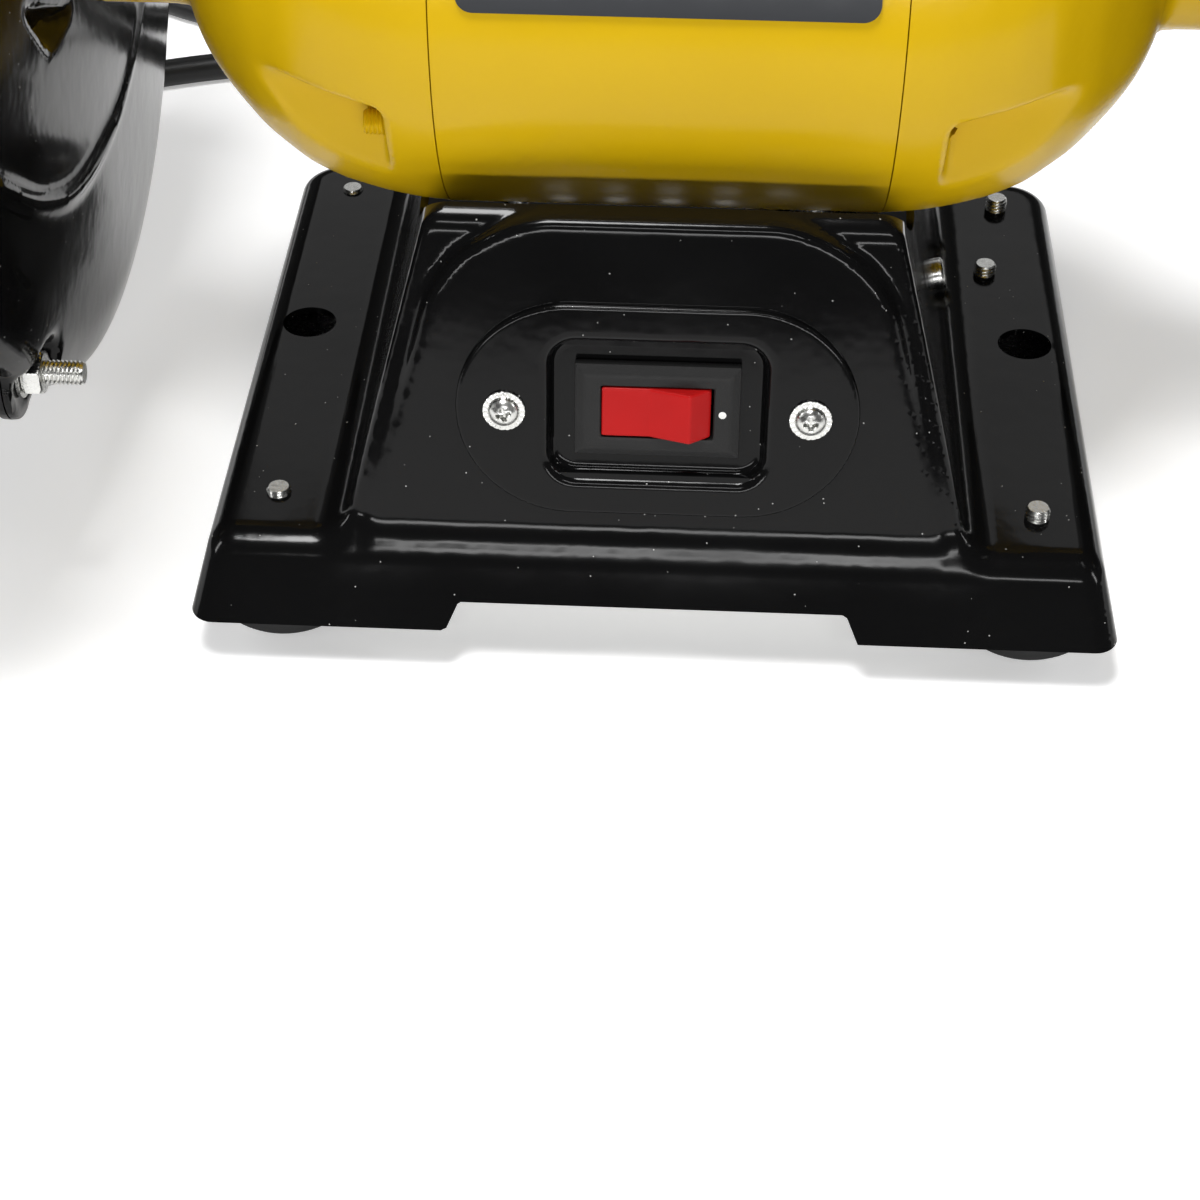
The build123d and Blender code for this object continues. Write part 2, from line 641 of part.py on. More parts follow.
for name, side in SIDES.items():
    shell = make_dish(side, shell_outline, guard_split - skin, 1.5, guard_split)
    with BuildPart() as guard:
        add(shell)
        with BuildSketch(cross_plane(side, 0)):
            with PolarLocations(neck_screw_circle_r, 3, start_angle=90):
                Circle(2.2)
        extrude(amount=skin, mode=Mode.SUBTRACT)
    save(guard.part, f"{name}_guard")

    dish = make_dish(side, cover_outline, guard_split, guard_split, cover_out)
    with BuildPart() as guard_cover:
        add(dish)
        for out in arrestor_screw_out:
            with BuildSketch(tangent_plane(side, out, arrestor_angle, 2)):
                with Locations((0, -2)):
                    Circle(2.1)
            extrude(amount=-6, mode=Mode.SUBTRACT)
        with BuildSketch(tangent_plane(side, bracket_screw_out, bracket_angle, 2)):
            with Locations((0, -8), (0, 8)):
                Circle(2.1)
        extrude(amount=-6, mode=Mode.SUBTRACT)
        with BuildSketch(cross_plane(side, cover_out - 3)):
            with Locations(*[(side * y, rest_bolt_z - spindle_z) for y in rest_bolt_y]):
                Circle(3.05)
        extrude(amount=5, mode=Mode.SUBTRACT)
    save(guard_cover.part, f"{name}_guard_cover")

with BuildPart() as guard_cover_bolts:
    for side in (-1, 1):
        places = [around(side, ear_circle_r, a) for a in ear_angles]
        with BuildSketch(cross_plane(side, 0)):
            with Locations(*places):
                Circle(2.45)
        extrude(amount=guard_split + skin)
        with BuildSketch(cross_plane(side, guard_split + skin)):
            with Locations(*places):
                RegularPolygon(4.6, 6)
        extrude(amount=3.5)
save(guard_cover_bolts.part, "guard_cover_bolts")

nut_face = guard_split - skin - 1.0
with BuildPart() as guard_cover_nuts:
    for side in (-1, 1):
        places = [around(side, ear_circle_r, a) for a in ear_angles]
        for start, thick, nut in ((nut_face - 4, 4, True), (nut_face, 1.0, False)):
            with BuildSketch(cross_plane(side, start)):
                with Locations(*places):
                    if nut:
                        RegularPolygon(4.62, 6)
                    else:
                        Circle(5)
                    Circle(2.5, mode=Mode.SUBTRACT)
            extrude(amount=thick)
save(guard_cover_nuts.part, "guard_cover_nuts")

with BuildPart() as guard_screws:
    for side in (-1, 1):
        with BuildSketch(cross_plane(side, skin)):
            with PolarLocations(neck_screw_circle_r, 3, start_angle=90):
                Circle(3.4)
        extrude(amount=2.2)
        with BuildSketch(cross_plane(side, skin)):
            with PolarLocations(neck_screw_circle_r, 3, start_angle=90):
                Circle(2)
        extrude(amount=-11)
save(guard_screws.part, "guard_screws")

# ---------------------------------------------------------------- wheels
for name, side in SIDES.items():
    plane = side_plane(side)
    wheel = turned(plane, [(wheel_out, arbor_r + 0.02), (wheel_out, wheel_r - 0.8),
                           (wheel_out + 0.8, wheel_r),
                           (wheel_end - 0.8, wheel_r), (wheel_end, wheel_r - 0.8),
                           (wheel_end, arbor_r + 0.02)])
    save(wheel, f"{name}_wheel")

    with BuildPart() as wheel_flanges:
        for face, back in ((wheel_out - blotter_t, flange_in), (wheel_end + blotter_t, nut_out)):
            turn = 1 if back > face else -1
            add(turned(plane, [(face, arbor_r + 0.01), (face + turn * 0.8, 12), (face + turn * 0.8, 21),
                               (face, 22), (face, flange_r), (face + turn * 2, flange_r),
                               (back, 19), (back, arbor_r + 0.01)]))
    save(wheel_flanges.part, f"{name}_wheel_flanges")

    with BuildPart() as spindle_nut:
        with BuildSketch(cross_plane(side, nut_out)):
            RegularPolygon(10.9, 6)
            Circle(6, mode=Mode.SUBTRACT)
        extrude(amount=7)
    save(spindle_nut.part, f"{name}_spindle_nut")

with BuildPart() as wheel_blotters:
    for side in (-1, 1):
        for start in (wheel_out - blotter_t, wheel_end):
            with BuildSketch(cross_plane(side, start)):
                Circle(30)
                Circle(21.5, mode=Mode.SUBTRACT)
            extrude(amount=blotter_t)
save(wheel_blotters.part, "wheel_blotters")

# ---------------------------------------------------------------- tool rests
rest_back_y = -(sqrt(wheel_r ** 2 - (spindle_z - rest_z) ** 2) + rest_gap)
rest_front_y, rest_in, rest_leg = -116.0, 3.0, cover_out + gap
for name, side in SIDES.items():
    low, high = rest_in, rest_leg + rest_t
    with BuildPart() as tool_rest:
        with BuildSketch(Plane.XY.offset(rest_z - rest_t)):
            with Locations((side * (guard_x[side] + (low + high) / 2), (rest_back_y + rest_front_y) / 2)):
                RectangleRounded(high - low, rest_back_y - rest_front_y, 2.5)
        extrude(amount=rest_t)
        with BuildSketch(cross_plane(side, rest_leg)):
            with BuildLine():
                Polyline(*[(side * y, z - spindle_z) for y, z in (
                    (rest_front_y + 4, rest_z), (rest_back_y, rest_z), (-10, 118), (-10, 94),
                    (-88, 94), (rest_front_y + 4, 108))], close=True)
            make_face()
            with Locations((side * (rest_bolt_y[0] + rest_bolt_y[1] + rest_travel) / 2,
                            rest_bolt_z - spindle_z)):
                SlotOverall(rest_bolt_y[1] - rest_bolt_y[0] + rest_travel + 6.8, 6.8, mode=Mode.SUBTRACT)
        extrude(amount=rest_t)
    save(tool_rest.part, f"{name}_tool_rest")

with BuildPart() as rest_bolts:
    for side in (-1, 1):
        places = [(side * y, rest_bolt_z - spindle_z) for y in rest_bolt_y]
        for start, thick, r in ((cover_out - skin - 2.2, 2.2, 6),
                                (cover_out - skin, skin + gap + rest_t + 10, 3),
                                (cover_out + gap + rest_t + gap, 1.2, 7), (cover_out + 8, 9, 9)):
            with BuildSketch(cross_plane(side, start)):
                with Locations(*places):
                    Circle(r)
            extrude(amount=thick)
        with BuildSketch(cross_plane(side, cover_out + gap + rest_t + gap + 1.2)):
            with Locations(*places):
                Circle(5.5)
        extrude(amount=4)
        with BuildSketch(cross_plane(side, cover_out + 8)):
            for place in places:
                with Locations(place):
                    with PolarLocations(9.6, 8):
                        Circle(1.8)
        extrude(amount=9, mode=Mode.SUBTRACT)
save(rest_bolts.part, "rest_bolts")

# ---------------------------------------------------------------- spark arrestors
plate_low, plate_high, plate_run, lip_depth = 16.0, 44.0, 14.0, 16.5
for name, side in SIDES.items():
    with BuildPart() as spark_arrestor:
        with BuildSketch(tangent_plane(side, (plate_low + plate_high) / 2, arrestor_angle, 0.5)):
            Rectangle(plate_high - plate_low, 2 * plate_run)
            for out in arrestor_screw_out:
                with Locations((-side * (out - (plate_low + plate_high) / 2), -2 - arrestor_travel / 2)):
                    SlotOverall(arrestor_travel + 5, 5, rotation=90, mode=Mode.SUBTRACT)
        extrude(amount=2)
        with BuildSketch(tangent_plane(side, (plate_low + plate_high) / 2, arrestor_angle, 2.5)):
            with Locations((0, plate_run - 1)):
                Rectangle(plate_high - plate_low, 2)
        extrude(amount=-2 - lip_depth)
    save(spark_arrestor.part, f"{name}_spark_arrestor")

with BuildPart() as arrestor_screws:
    for side in (-1, 1):
        for out in arrestor_screw_out:
            for start, amount, r in ((0.5 + 2, 1.0, 4.6), (3.5, 2.4, 3.5), (2.5, -9, 2.05)):
                with BuildSketch(tangent_plane(side, out, arrestor_angle, start)):
                    with Locations((0, -2)):
                        Circle(r)
                extrude(amount=amount)
save(arrestor_screws.part, "arrestor_screws")

# ---------------------------------------------------------------- eye shields
ear_out, bracket_t, frame_t, shield_w, shield_run = 16.0, 2.5, 3.0, 56.0, 86.0
shield_middle = 24.0
pivot_pin_r = 3.0
droop = radians(shield_droop)


def shield_plane(side, out):
    """Plane of the hanging shield: local x to the right, local y away from the pivot, down and forward."""
    return Plane(origin=(side * (guard_x[side] + out), shield_y, shield_z),
                 x_dir=(1, 0, 0), z_dir=(0, -sin(droop), cos(droop)))


for name, side in SIDES.items():
    pivot = (side * shield_y, shield_z - spindle_z)
    top = guard_r + 0.5
    with BuildPart() as shield_bracket:
        with BuildSketch(tangent_plane(side, (ear_out + 38) / 2, bracket_angle, 0.5)):
            RectangleRounded(38 - ear_out, 26, 2)
            with Locations((side * ((ear_out + 38) / 2 - bracket_screw_out), -8),
                           (side * ((ear_out + 38) / 2 - bracket_screw_out), 8)):
                Circle(2.1, mode=Mode.SUBTRACT)
        extrude(amount=2.5)
        with BuildSketch(cross_plane(side, ear_out)):
            with BuildLine():
                Polyline((side * 11, top), (side * 11, top + 10), (side * (shield_y + 5), pivot[1] + 7),
                         (side * (shield_y - 6), pivot[1] + 3), (side * (shield_y - 3), pivot[1] - 7),
                         (-side * 12, top), close=True)
            make_face()
            with Locations(pivot):
                Circle(8)
                Circle(pivot_pin_r + 0.02, mode=Mode.SUBTRACT)
        extrude(amount=bracket_t)
    save(shield_bracket.part, f"{name}_shield_bracket")

    frame_out = ear_out + bracket_t + gap
    with BuildPart() as shield_frame:
        with BuildSketch(shield_plane(side, shield_middle).offset(-frame_t / 2)):
            with Locations((0, -(shield_run / 2 + 10))):
                RectangleRounded(shield_w, shield_run - 20, 6)
                RectangleRounded(shield_w - 10, shield_run - 30, 3, mode=Mode.SUBTRACT)
        extrude(amount=frame_t)
        with BuildSketch(cross_plane(side, frame_out)):
            with BuildLine():
                reach = [(-8, 0), (-8, 1), (22, frame_t / 2), (22, -frame_t / 2 - 3), (0, -8)]
                Polyline(*[(side * (shield_y - a * cos(droop) - b * sin(droop)),
                            pivot[1] - a * sin(droop) + b * cos(droop)) for a, b in reach], close=True)
            make_face()
            with Locations(pivot):
                Circle(8)
                Circle(pivot_pin_r + 0.05, mode=Mode.SUBTRACT)
        extrude(amount=frame_t)
    save(shield_frame.part, f"{name}_shield_frame")

    with BuildPart() as shield_lens:
        with BuildSketch(shield_plane(side, shield_middle).offset(-1.2)):
            with Locations((0, -(shield_run / 2 + 10))):
                RectangleRounded(shield_w - 10.1, shield_run - 30.1, 2.9)
        extrude(amount=2.4)
    save(shield_lens.part, f"{name}_shield_lens")

    with BuildPart() as shield_knob:
        for start, thick, r in ((ear_out - 4, 25, pivot_pin_r), (ear_out - 3, 3, 5.5),
                                (frame_out + frame_t + gap, 5, 5.5), (ear_out - 12, 9, 10)):
            with BuildSketch(cross_plane(side, start)):
                with Locations(pivot):
                    Circle(r)
            extrude(amount=thick)
        with BuildSketch(cross_plane(side, ear_out - 12)):
            with Locations(pivot):
                with PolarLocations(10.6, 8):
                    Circle(1.9)
        extrude(amount=9, mode=Mode.SUBTRACT)
    save(shield_knob.part, f"{name}_shield_knob")

with BuildPart() as bracket_screws:
    for side in (-1, 1):
        for start, amount, r in ((3.0, 2.4, 3.6), (3.0, -9, 2.05)):
            with BuildSketch(tangent_plane(side, bracket_screw_out, bracket_angle, start)):
                with Locations((0, -8), (0, 8)):
                    Circle(r)
            extrude(amount=amount)
save(bracket_screws.part, "bracket_screws")

# ---------------------------------------------------------------- mains lead
gland_tip = 26.0
with BuildPart() as cord_gland:
    for start, thick, r in ((-wall_depth - 3, 3, 8.5), (-wall_depth, wall_depth, 6.4), (0, 2.5, 8.5)):
        with BuildSketch(rear_plane(start)):
            Circle(r)
        extrude(amount=thick)
    with BuildSketch(rear_plane(2.5)):
        Circle(6.5)
    with BuildSketch(rear_plane(gland_tip)):
        Circle(4.5)
    loft()
save(cord_gland.part, "cord_gland")

floor = cord_r + 0.1
lead_route = [
    (-22.0, 86.85, 49.68), (-22.0, 106.65, 52.51), (-24.0, 129.0, 45.0), (-31.0, 147.0, 27.0),
    (-46.0, 159.0, 9.0),
    (-69.0, 162.0, floor), (-96.0, 159.0, floor), (-126.0, 153.0, floor), (-157.0, 140.0, floor),
    (-190.0, 138.0, floor), (-214.0, 160.0, floor), (-212.0, 192.0, floor), (-184.0, 208.0, floor),
    (-153.0, 195.0, floor), (-124.0, 179.0, floor), (-92.0, 175.0, floor), (-60.0, 180.0, floor),
    (-32.0, 190.0, floor), (-4.0, 198.0, floor), (22.0, 198.0, floor)]
tail_route = [(64.0, 156.0, 17.6), (64.0, 136.0, 17.8), (61.5, 117.5, 17.4),
              (52.5, 101.5, 16.7), (37.0, 92.5, 15.8), (19.0, 91.0, 15.8)]


def corner_radii(route):
    """Largest smooth bend at each corner of a cord's route."""
    radii = []
    for a, b, c in zip(route, route[1:], route[2:]):
        before, after = Vector(*b) - Vector(*a), Vector(*c) - Vector(*b)
        turn = radians(before.get_angle(after))
        radii.append(0.45 * min(before.length, after.length) / tan(turn / 2))
    return radii


def cord_tube(route):
    """Round tube along straight runs joined by tangent arcs, and its length."""
    start = Vector(*route[1]) - Vector(*route[0])
    with BuildPart() as tube:
        with BuildLine() as path:
            FilletPolyline(*route, radius=corner_radii(route))
        with BuildSketch(Plane(origin=route[0], z_dir=start)):
            Circle(cord_r)
        sweep(path=path.wires()[0])
    return tube.part, path.wires()[0].length


with BuildPart() as cord_coil:
    with BuildSketch(Plane(origin=(coil_x, coil_y, 0), x_dir=(1, 0, 0), z_dir=(0, -1, 0))):
        with Locations(((coil_in_r + coil_out_r) / 2, coil_h / 2 + 0.1)):
            RectangleRounded(coil_out_r - coil_in_r, coil_h, cord_r - 0.2)
    revolve(axis=Axis((coil_x, coil_y, 0), (0, 0, 1)))

lead, lead_length = cord_tube(lead_route)
tail, tail_length = cord_tube(tail_route)
with BuildPart() as power_cord:
    add(lead)
    add(tail)
save(power_cord.part, "power_cord")
for label, route, piece, length in (("lead", lead_route, lead, lead_length),
                                    ("tail", tail_route, tail, tail_length)):
    print(label, "radii", [round(r) for r in corner_radii(route)], "length", round(length),
          "volume over section times length", round(piece.volume / (3.14159265 * cord_r ** 2 * length), 3))

tie_turn = 200.0
with BuildPart() as cord_tie:
    across_coil = Plane(origin=(coil_x, coil_y, 0), x_dir=(1, 0, 0), z_dir=(0, -1, 0))
    with BuildSketch(across_coil.rotated((0, tie_turn, 0))):
        with Locations(((coil_in_r + coil_out_r) / 2, coil_h / 2 + 0.1)):
            RectangleRounded(coil_out_r - coil_in_r + 3, coil_h + 3, cord_r)
    extrude(amount=4, both=True)
    with Locations((0, 0, -10)):
        Box(400, 400, 20, align=(Align.CENTER, Align.CENTER, Align.CENTER), mode=Mode.SUBTRACT)
    add(cord_coil.part, mode=Mode.SUBTRACT)
save(cord_tie.part, "cord_tie")
save(cord_coil.part, "cord_coil")

plug_start = Vector(*tail_route[-1])
plug_way = plug_start - Vector(*tail_route[-2])
plug_plane = Plane(origin=plug_start, z_dir=plug_way)
with BuildPart() as plug:
    for start, end, r0, r1 in ((0, 16, 4.4, 6.5), (16, 26, 9, 15.5), (26, 40, 15.5, 15.5),
                               (40, 44, 15.5, 13.5)):
        with BuildSketch(plug_plane.offset(start)):
            Circle(r0)
        with BuildSketch(plug_plane.offset(end)):
            Circle(r1)
        loft()
    with BuildSketch(plug_plane.offset(44)):
        with Locations((0, -9.5), (0, 9.5)):
            Circle(2.4)
    extrude(amount=19)
save(plug.part, "plug")
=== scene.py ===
"""Bench grinder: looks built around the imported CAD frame.
"""
import json
import math

import bmesh
import bpy
import numpy as np
from mathutils import Matrix, Vector

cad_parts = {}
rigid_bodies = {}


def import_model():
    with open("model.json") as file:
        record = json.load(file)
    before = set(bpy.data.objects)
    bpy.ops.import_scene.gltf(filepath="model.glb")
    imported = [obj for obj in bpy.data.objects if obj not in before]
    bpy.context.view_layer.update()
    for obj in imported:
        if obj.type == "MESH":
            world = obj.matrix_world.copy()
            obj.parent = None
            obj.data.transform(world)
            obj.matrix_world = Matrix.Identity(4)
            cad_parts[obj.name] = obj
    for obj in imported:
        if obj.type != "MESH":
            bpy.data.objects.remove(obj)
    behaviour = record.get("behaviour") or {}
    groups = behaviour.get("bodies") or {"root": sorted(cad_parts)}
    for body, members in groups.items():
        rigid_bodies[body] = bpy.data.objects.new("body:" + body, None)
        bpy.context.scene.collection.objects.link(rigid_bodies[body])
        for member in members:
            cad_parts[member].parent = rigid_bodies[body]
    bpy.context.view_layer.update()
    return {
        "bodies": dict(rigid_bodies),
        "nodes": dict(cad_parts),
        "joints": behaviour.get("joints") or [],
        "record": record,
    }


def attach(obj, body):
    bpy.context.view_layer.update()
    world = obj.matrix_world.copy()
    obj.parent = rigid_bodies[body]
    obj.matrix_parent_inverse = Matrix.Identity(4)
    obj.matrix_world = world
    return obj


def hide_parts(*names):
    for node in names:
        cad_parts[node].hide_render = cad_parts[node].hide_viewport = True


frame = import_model()
nodes = frame["nodes"]
MM = 0.001
SPINDLE_Z = 122.4                    # spindle axis above the bench
SIDES = {"left": -1, "right": 1}
GUARD_X = {-1: 108.0, 1: 119.0}      # inner face of each guard, out from the middle


# ---------------------------------------------------------------- camera
CAMERA_PLACE = (7.6, -442.4, 323.4)
YAW, PITCH, ROLL = 0.048, 0.699, 0.004      # radians; pitch is downward
LENS, SENSOR = 74.9, 36.0


def make_camera():
    forward = Vector((-math.sin(YAW) * math.cos(PITCH), math.cos(YAW) * math.cos(PITCH), -math.sin(PITCH)))
    level = Vector((math.cos(YAW), math.sin(YAW), 0))
    level_up = level.cross(forward)
    right = level * math.cos(ROLL) + level_up * math.sin(ROLL)
    up = level_up * math.cos(ROLL) - level * math.sin(ROLL)
    data = bpy.data.cameras.new("camera")
    data.lens, data.sensor_width = LENS, SENSOR
    camera = bpy.data.objects.new("camera", data)
    turn = Matrix((right, up, -forward)).transposed()
    camera.matrix_world = Matrix.Translation(Vector(CAMERA_PLACE) * MM) @ turn.to_4x4()
    bpy.context.scene.collection.objects.link(camera)
    bpy.context.scene.camera = camera


make_camera()


# ---------------------------------------------------------------- mains lead
CORD_R = 3.5
FLOOR_Z = CORD_R + 0.1
COIL_X, COIL_Y = 22.0, 156.0
LEAD_ROUTE = [
    (-22.0, 86.85, 49.68), (-22.0, 106.65, 52.51), (-24.0, 129.0, 45.0), (-31.0, 147.0, 27.0),
    (-46.0, 159.0, 9.0), (-69.0, 162.0, FLOOR_Z), (-96.0, 159.0, FLOOR_Z), (-126.0, 153.0, FLOOR_Z),
    (-157.0, 140.0, FLOOR_Z), (-190.0, 138.0, FLOOR_Z), (-214.0, 160.0, FLOOR_Z), (-212.0, 192.0, FLOOR_Z),
    (-184.0, 208.0, FLOOR_Z), (-153.0, 195.0, FLOOR_Z), (-124.0, 179.0, FLOOR_Z), (-92.0, 175.0, FLOOR_Z),
    (-60.0, 180.0, FLOOR_Z), (-32.0, 190.0, FLOOR_Z), (-4.0, 198.0, FLOOR_Z)]
TAIL_ROUTE = [(64.0, 136.0, 17.8), (61.5, 117.5, 17.4), (52.5, 101.5, 16.7), (37.0, 92.5, 15.8),
              (19.0, 91.0, 15.8)]
COIL_IN_R, COIL_OUT_R = 35.0, 35.0 + 2 * CORD_R
LOW_Z, MIDDLE_Z, HIGH_Z = (FLOOR_Z + 2 * CORD_R * layer for layer in range(3))
# radius and height of each turn of the coil, from the outside at the bottom to the outside at the top
COIL_TURNS = [(COIL_OUT_R, LOW_Z), (COIL_IN_R, LOW_Z), (COIL_IN_R, MIDDLE_Z), (COIL_OUT_R, MIDDLE_Z),
              (COIL_IN_R, HIGH_Z), (COIL_OUT_R, HIGH_Z)]
COIL_SWEEP = 5.25            # turns in all
CHANGE = 0.25                # share of a turn that leads over from the turn before
STEPS_PER_TURN = 16


def coil_points():
    """Clockwise turns from the far side of the coil to its right-hand side."""
    points = []
    outward = math.cos(math.pi / STEPS_PER_TURN) ** 0.5      # the spline cuts inside its own points
    for k in range(1, int(COIL_SWEEP * STEPS_PER_TURN) + 1):
        turn = k / STEPS_PER_TURN
        n = min(int(turn), len(COIL_TURNS) - 1)
        r, z = COIL_TURNS[n]
        if turn - n < CHANGE and n > 0:
            share = (turn - n) / CHANGE
            r0, z0 = COIL_TURNS[n - 1]
            r, z = r0 + (r - r0) * share, z0 + (z - z0) * share
        r /= outward
        angle = math.pi / 2 - 2 * math.pi * turn
        points.append((COIL_X + r * math.cos(angle), COIL_Y + r * math.sin(angle), z))
    return points


def centreline():
    """The lead's own line: points read from one NURBS spline through the route and the coil."""
    route = LEAD_ROUTE + coil_points() + TAIL_ROUTE
    curve = bpy.data.curves.new("lead_line", "CURVE")
    curve.dimensions = "3D"
    spline = curve.splines.new("NURBS")
    spline.points.add(len(route) - 1)
    for point, (x, y, z) in zip(spline.points, route):
        point.co = (x * MM, y * MM, z * MM, 1)
    spline.order_u = 3
    spline.use_endpoint_u = True
    spline.resolution_u = 6
    line = bpy.data.objects.new("lead_line", curve)
    points = [v.co.copy() for v in bpy.data.meshes.new_from_object(line).vertices]
    bpy.data.objects.remove(line)
    return points


def tube(name, line, radius, sides=16):
    """Mesh tube of one radius along a line of points."""
    mesh = bpy.data.meshes.new(name)
    bm = bmesh.new()
    up, rings = Vector((0, 0, 1)), []
    for k, point in enumerate(line):
        ahead = (line[min(k + 1, len(line) - 1)] - line[max(k - 1, 0)]).normalized()
        up = (up - ahead * up.dot(ahead)).normalized()
        across = ahead.cross(up)
        turns = [2 * math.pi * n / sides for n in range(sides)]
        rings.append([bm.verts.new(point + radius * (math.cos(t) * across + math.sin(t) * up))
                      for t in turns])
    for a, b in zip(rings, rings[1:]):
        for n in range(sides):
            bm.faces.new((a[n], a[(n + 1) % sides], b[(n + 1) % sides], b[n]))
    bm.faces.new(rings[0][::-1])
    bm.faces.new(rings[-1])
    bmesh.ops.recalc_face_normals(bm, faces=bm.faces)
    bm.to_mesh(mesh)
    bm.free()
    mesh.polygons.foreach_set("use_smooth", [True] * len(mesh.polygons))
    piece = bpy.data.objects.new(name, mesh)
    bpy.context.scene.collection.objects.link(piece)
    return piece


line = centreline()
lead = tube("mains_lead", line, CORD_R * MM)
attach(lead, "root")
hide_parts("power_cord", "cord_coil")


# ---------------------------------------------------------------- materials
def new_material(name):
    material = bpy.data.materials.new(name)
    material.use_nodes = True
    tree = material.node_tree
    return material, tree, tree.nodes["Principled BSDF"]


def node(tree, kind, **settings):
    """A shader node; a setting goes to the input of that name, or else to the node itself."""
    made = tree.nodes.new(kind)
    for key, value in settings.items():
        if key in made.inputs:
            made.inputs[key].default_value = value
        else:
            setattr(made, key, value)
    return made


def noise(tree, scale, detail=2.0, roughness=0.5):
    """Noise read in object space, with scale in features per metre."""
    where = node(tree, "ShaderNodeTexCoord")
    made = node(tree, "ShaderNodeTexNoise", Scale=scale, Detail=detail, Roughness=roughness)
    tree.links.new(where.outputs["Object"], made.inputs["Vector"])
    return made.outputs["Fac"]


def ramp(tree, source, stops):
    """A source turned into colours through (place, colour) stops."""
    made = node(tree, "ShaderNodeValToRGB")
    elements = made.color_ramp.elements
    while len(elements) < len(stops):
        elements.new(0.5)
    for element, (at, colour) in zip(elements, stops):
        element.position = at
        element.color = (*colour, 1)
    tree.links.new(source, made.inputs["Fac"])
    return made.outputs["Color"]


def grey(value):
    return (value, value, value)


def bump(tree, shader, source, strength, distance):
    """A source used as height on the shader's surface."""
    made = node(tree, "ShaderNodeBump", Strength=strength, Distance=distance)
    tree.links.new(source, made.inputs["Height"])
    tree.links.new(made.outputs["Normal"], shader.inputs["Normal"])


def mix_colour(tree, share, a, b):
    """Colour a, which turns into b as share goes from 0 to 1."""
    made = node(tree, "ShaderNodeMix", data_type="RGBA")
    factor, first, second = made.inputs[0], made.inputs[6], made.inputs[7]
    tree.links.new(share, factor)
    first.default_value, second.default_value = (*a, 1), (*b, 1)
    return made.outputs[2]


def yellow_enamel():
    """Glossy yellow stove enamel with a fine orange peel."""
    material, tree, shader = new_material("yellow_enamel")
    broad = ramp(tree, noise(tree, 18), [(0.3, (0.560, 0.350, 0.003)), (0.7, (0.600, 0.380, 0.004))])
    tree.links.new(broad, shader.inputs["Base Color"])
    rough = ramp(tree, noise(tree, 60, 3), [(0.3, grey(0.20)), (0.75, grey(0.27))])
    tree.links.new(rough, shader.inputs["Roughness"])
    shader.inputs["Specular IOR Level"].default_value = 0.16
    bump(tree, shader, noise(tree, 420, 1), 0.10, 0.0004)
    return material


def specks(tree, scale, radius, share):
    """White where a share of the cells of a random pattern holds a speck of that radius, in cells."""
    where = node(tree, "ShaderNodeTexCoord")
    cells = node(tree, "ShaderNodeTexVoronoi", Scale=scale)
    tree.links.new(where.outputs["Object"], cells.inputs["Vector"])
    near = node(tree, "ShaderNodeMath", operation="LESS_THAN")
    tree.links.new(cells.outputs["Distance"], near.inputs[0])
    near.inputs[1].default_value = radius
    random_colour = node(tree, "ShaderNodeSeparateColor")
    tree.links.new(cells.outputs["Color"], random_colour.inputs[0])
    picked = node(tree, "ShaderNodeMath", operation="LESS_THAN")
    tree.links.new(random_colour.outputs[0], picked.inputs[0])
    picked.inputs[1].default_value = share
    both = node(tree, "ShaderNodeMath", operation="MULTIPLY")
    tree.links.new(near.outputs[0], both.inputs[0])
    tree.links.new(picked.outputs[0], both.inputs[1])
    return both.outputs[0]


def black_enamel():
    """Glossy black stove enamel with pale specks of dust."""
    material, tree, shader = new_material("black_enamel")
    paint, dust = (0.0030, 0.0030, 0.0031), (0.30, 0.30, 0.29)
    base = mix_colour(tree, specks(tree, 420, 0.06, 0.45), paint, dust)
    tree.links.new(base, shader.inputs["Base Color"])
    rough = ramp(tree, noise(tree, 40, 4), [(0.3, grey(0.09)), (0.75, grey(0.16))])
    tree.links.new(rough, shader.inputs["Roughness"])
    shader.inputs["Specular IOR Level"].default_value = 0.15
    bump(tree, shader, noise(tree, 130, 2), 0.10, 0.0008)
    return material


def metal(name, colour, roughness, spread, scale):
    """A metal whose roughness varies by spread, with features per metre."""
    material, tree, shader = new_material(name)
    shader.inputs["Metallic"].default_value = 1.0
    tint = ramp(tree, noise(tree, scale), [(0.3, tuple(0.88 * c for c in colour)), (0.7, colour)])
    tree.links.new(tint, shader.inputs["Base Color"])
    rough = ramp(tree, noise(tree, 3 * scale, 3),
                 [(0.3, grey(roughness - spread)), (0.7, grey(roughness + spread))])
    tree.links.new(rough, shader.inputs["Roughness"])
    bump(tree, shader, noise(tree, 6 * scale, 2), 0.12, 0.0002)
    return material


def plastic(name, colour, roughness, bumpiness, scale, shine=0.25):
    """A plastic, rubber or card with a fine texture of scale features per metre."""
    material, tree, shader = new_material(name)
    tint = ramp(tree, noise(tree, 90, 3), [(0.3, tuple(0.9 * c for c in colour)), (0.7, colour)])
    tree.links.new(tint, shader.inputs["Base Color"])
    rough = ramp(tree, noise(tree, 200, 3),
                 [(0.3, grey(roughness - 0.04)), (0.7, grey(roughness + 0.04))])
    tree.links.new(rough, shader.inputs["Roughness"])
    shader.inputs["Specular IOR Level"].default_value = shine
    bump(tree, shader, noise(tree, scale, 2), bumpiness, 0.0002)
    return material


def abrasive():
    """Grey grains of the grinding wheels."""
    material, tree, shader = new_material("stone_coarse")
    grain = noise(tree, 2600, 1)
    colour = ramp(tree, grain, [(0.35, (0.10, 0.10, 0.105)), (0.5, (0.20, 0.20, 0.205)),
                                (0.66, (0.42, 0.42, 0.43))])
    tree.links.new(colour, shader.inputs["Base Color"])
    shader.inputs["Roughness"].default_value = 0.9
    bump(tree, shader, grain, 0.6, 0.0006)
    return material


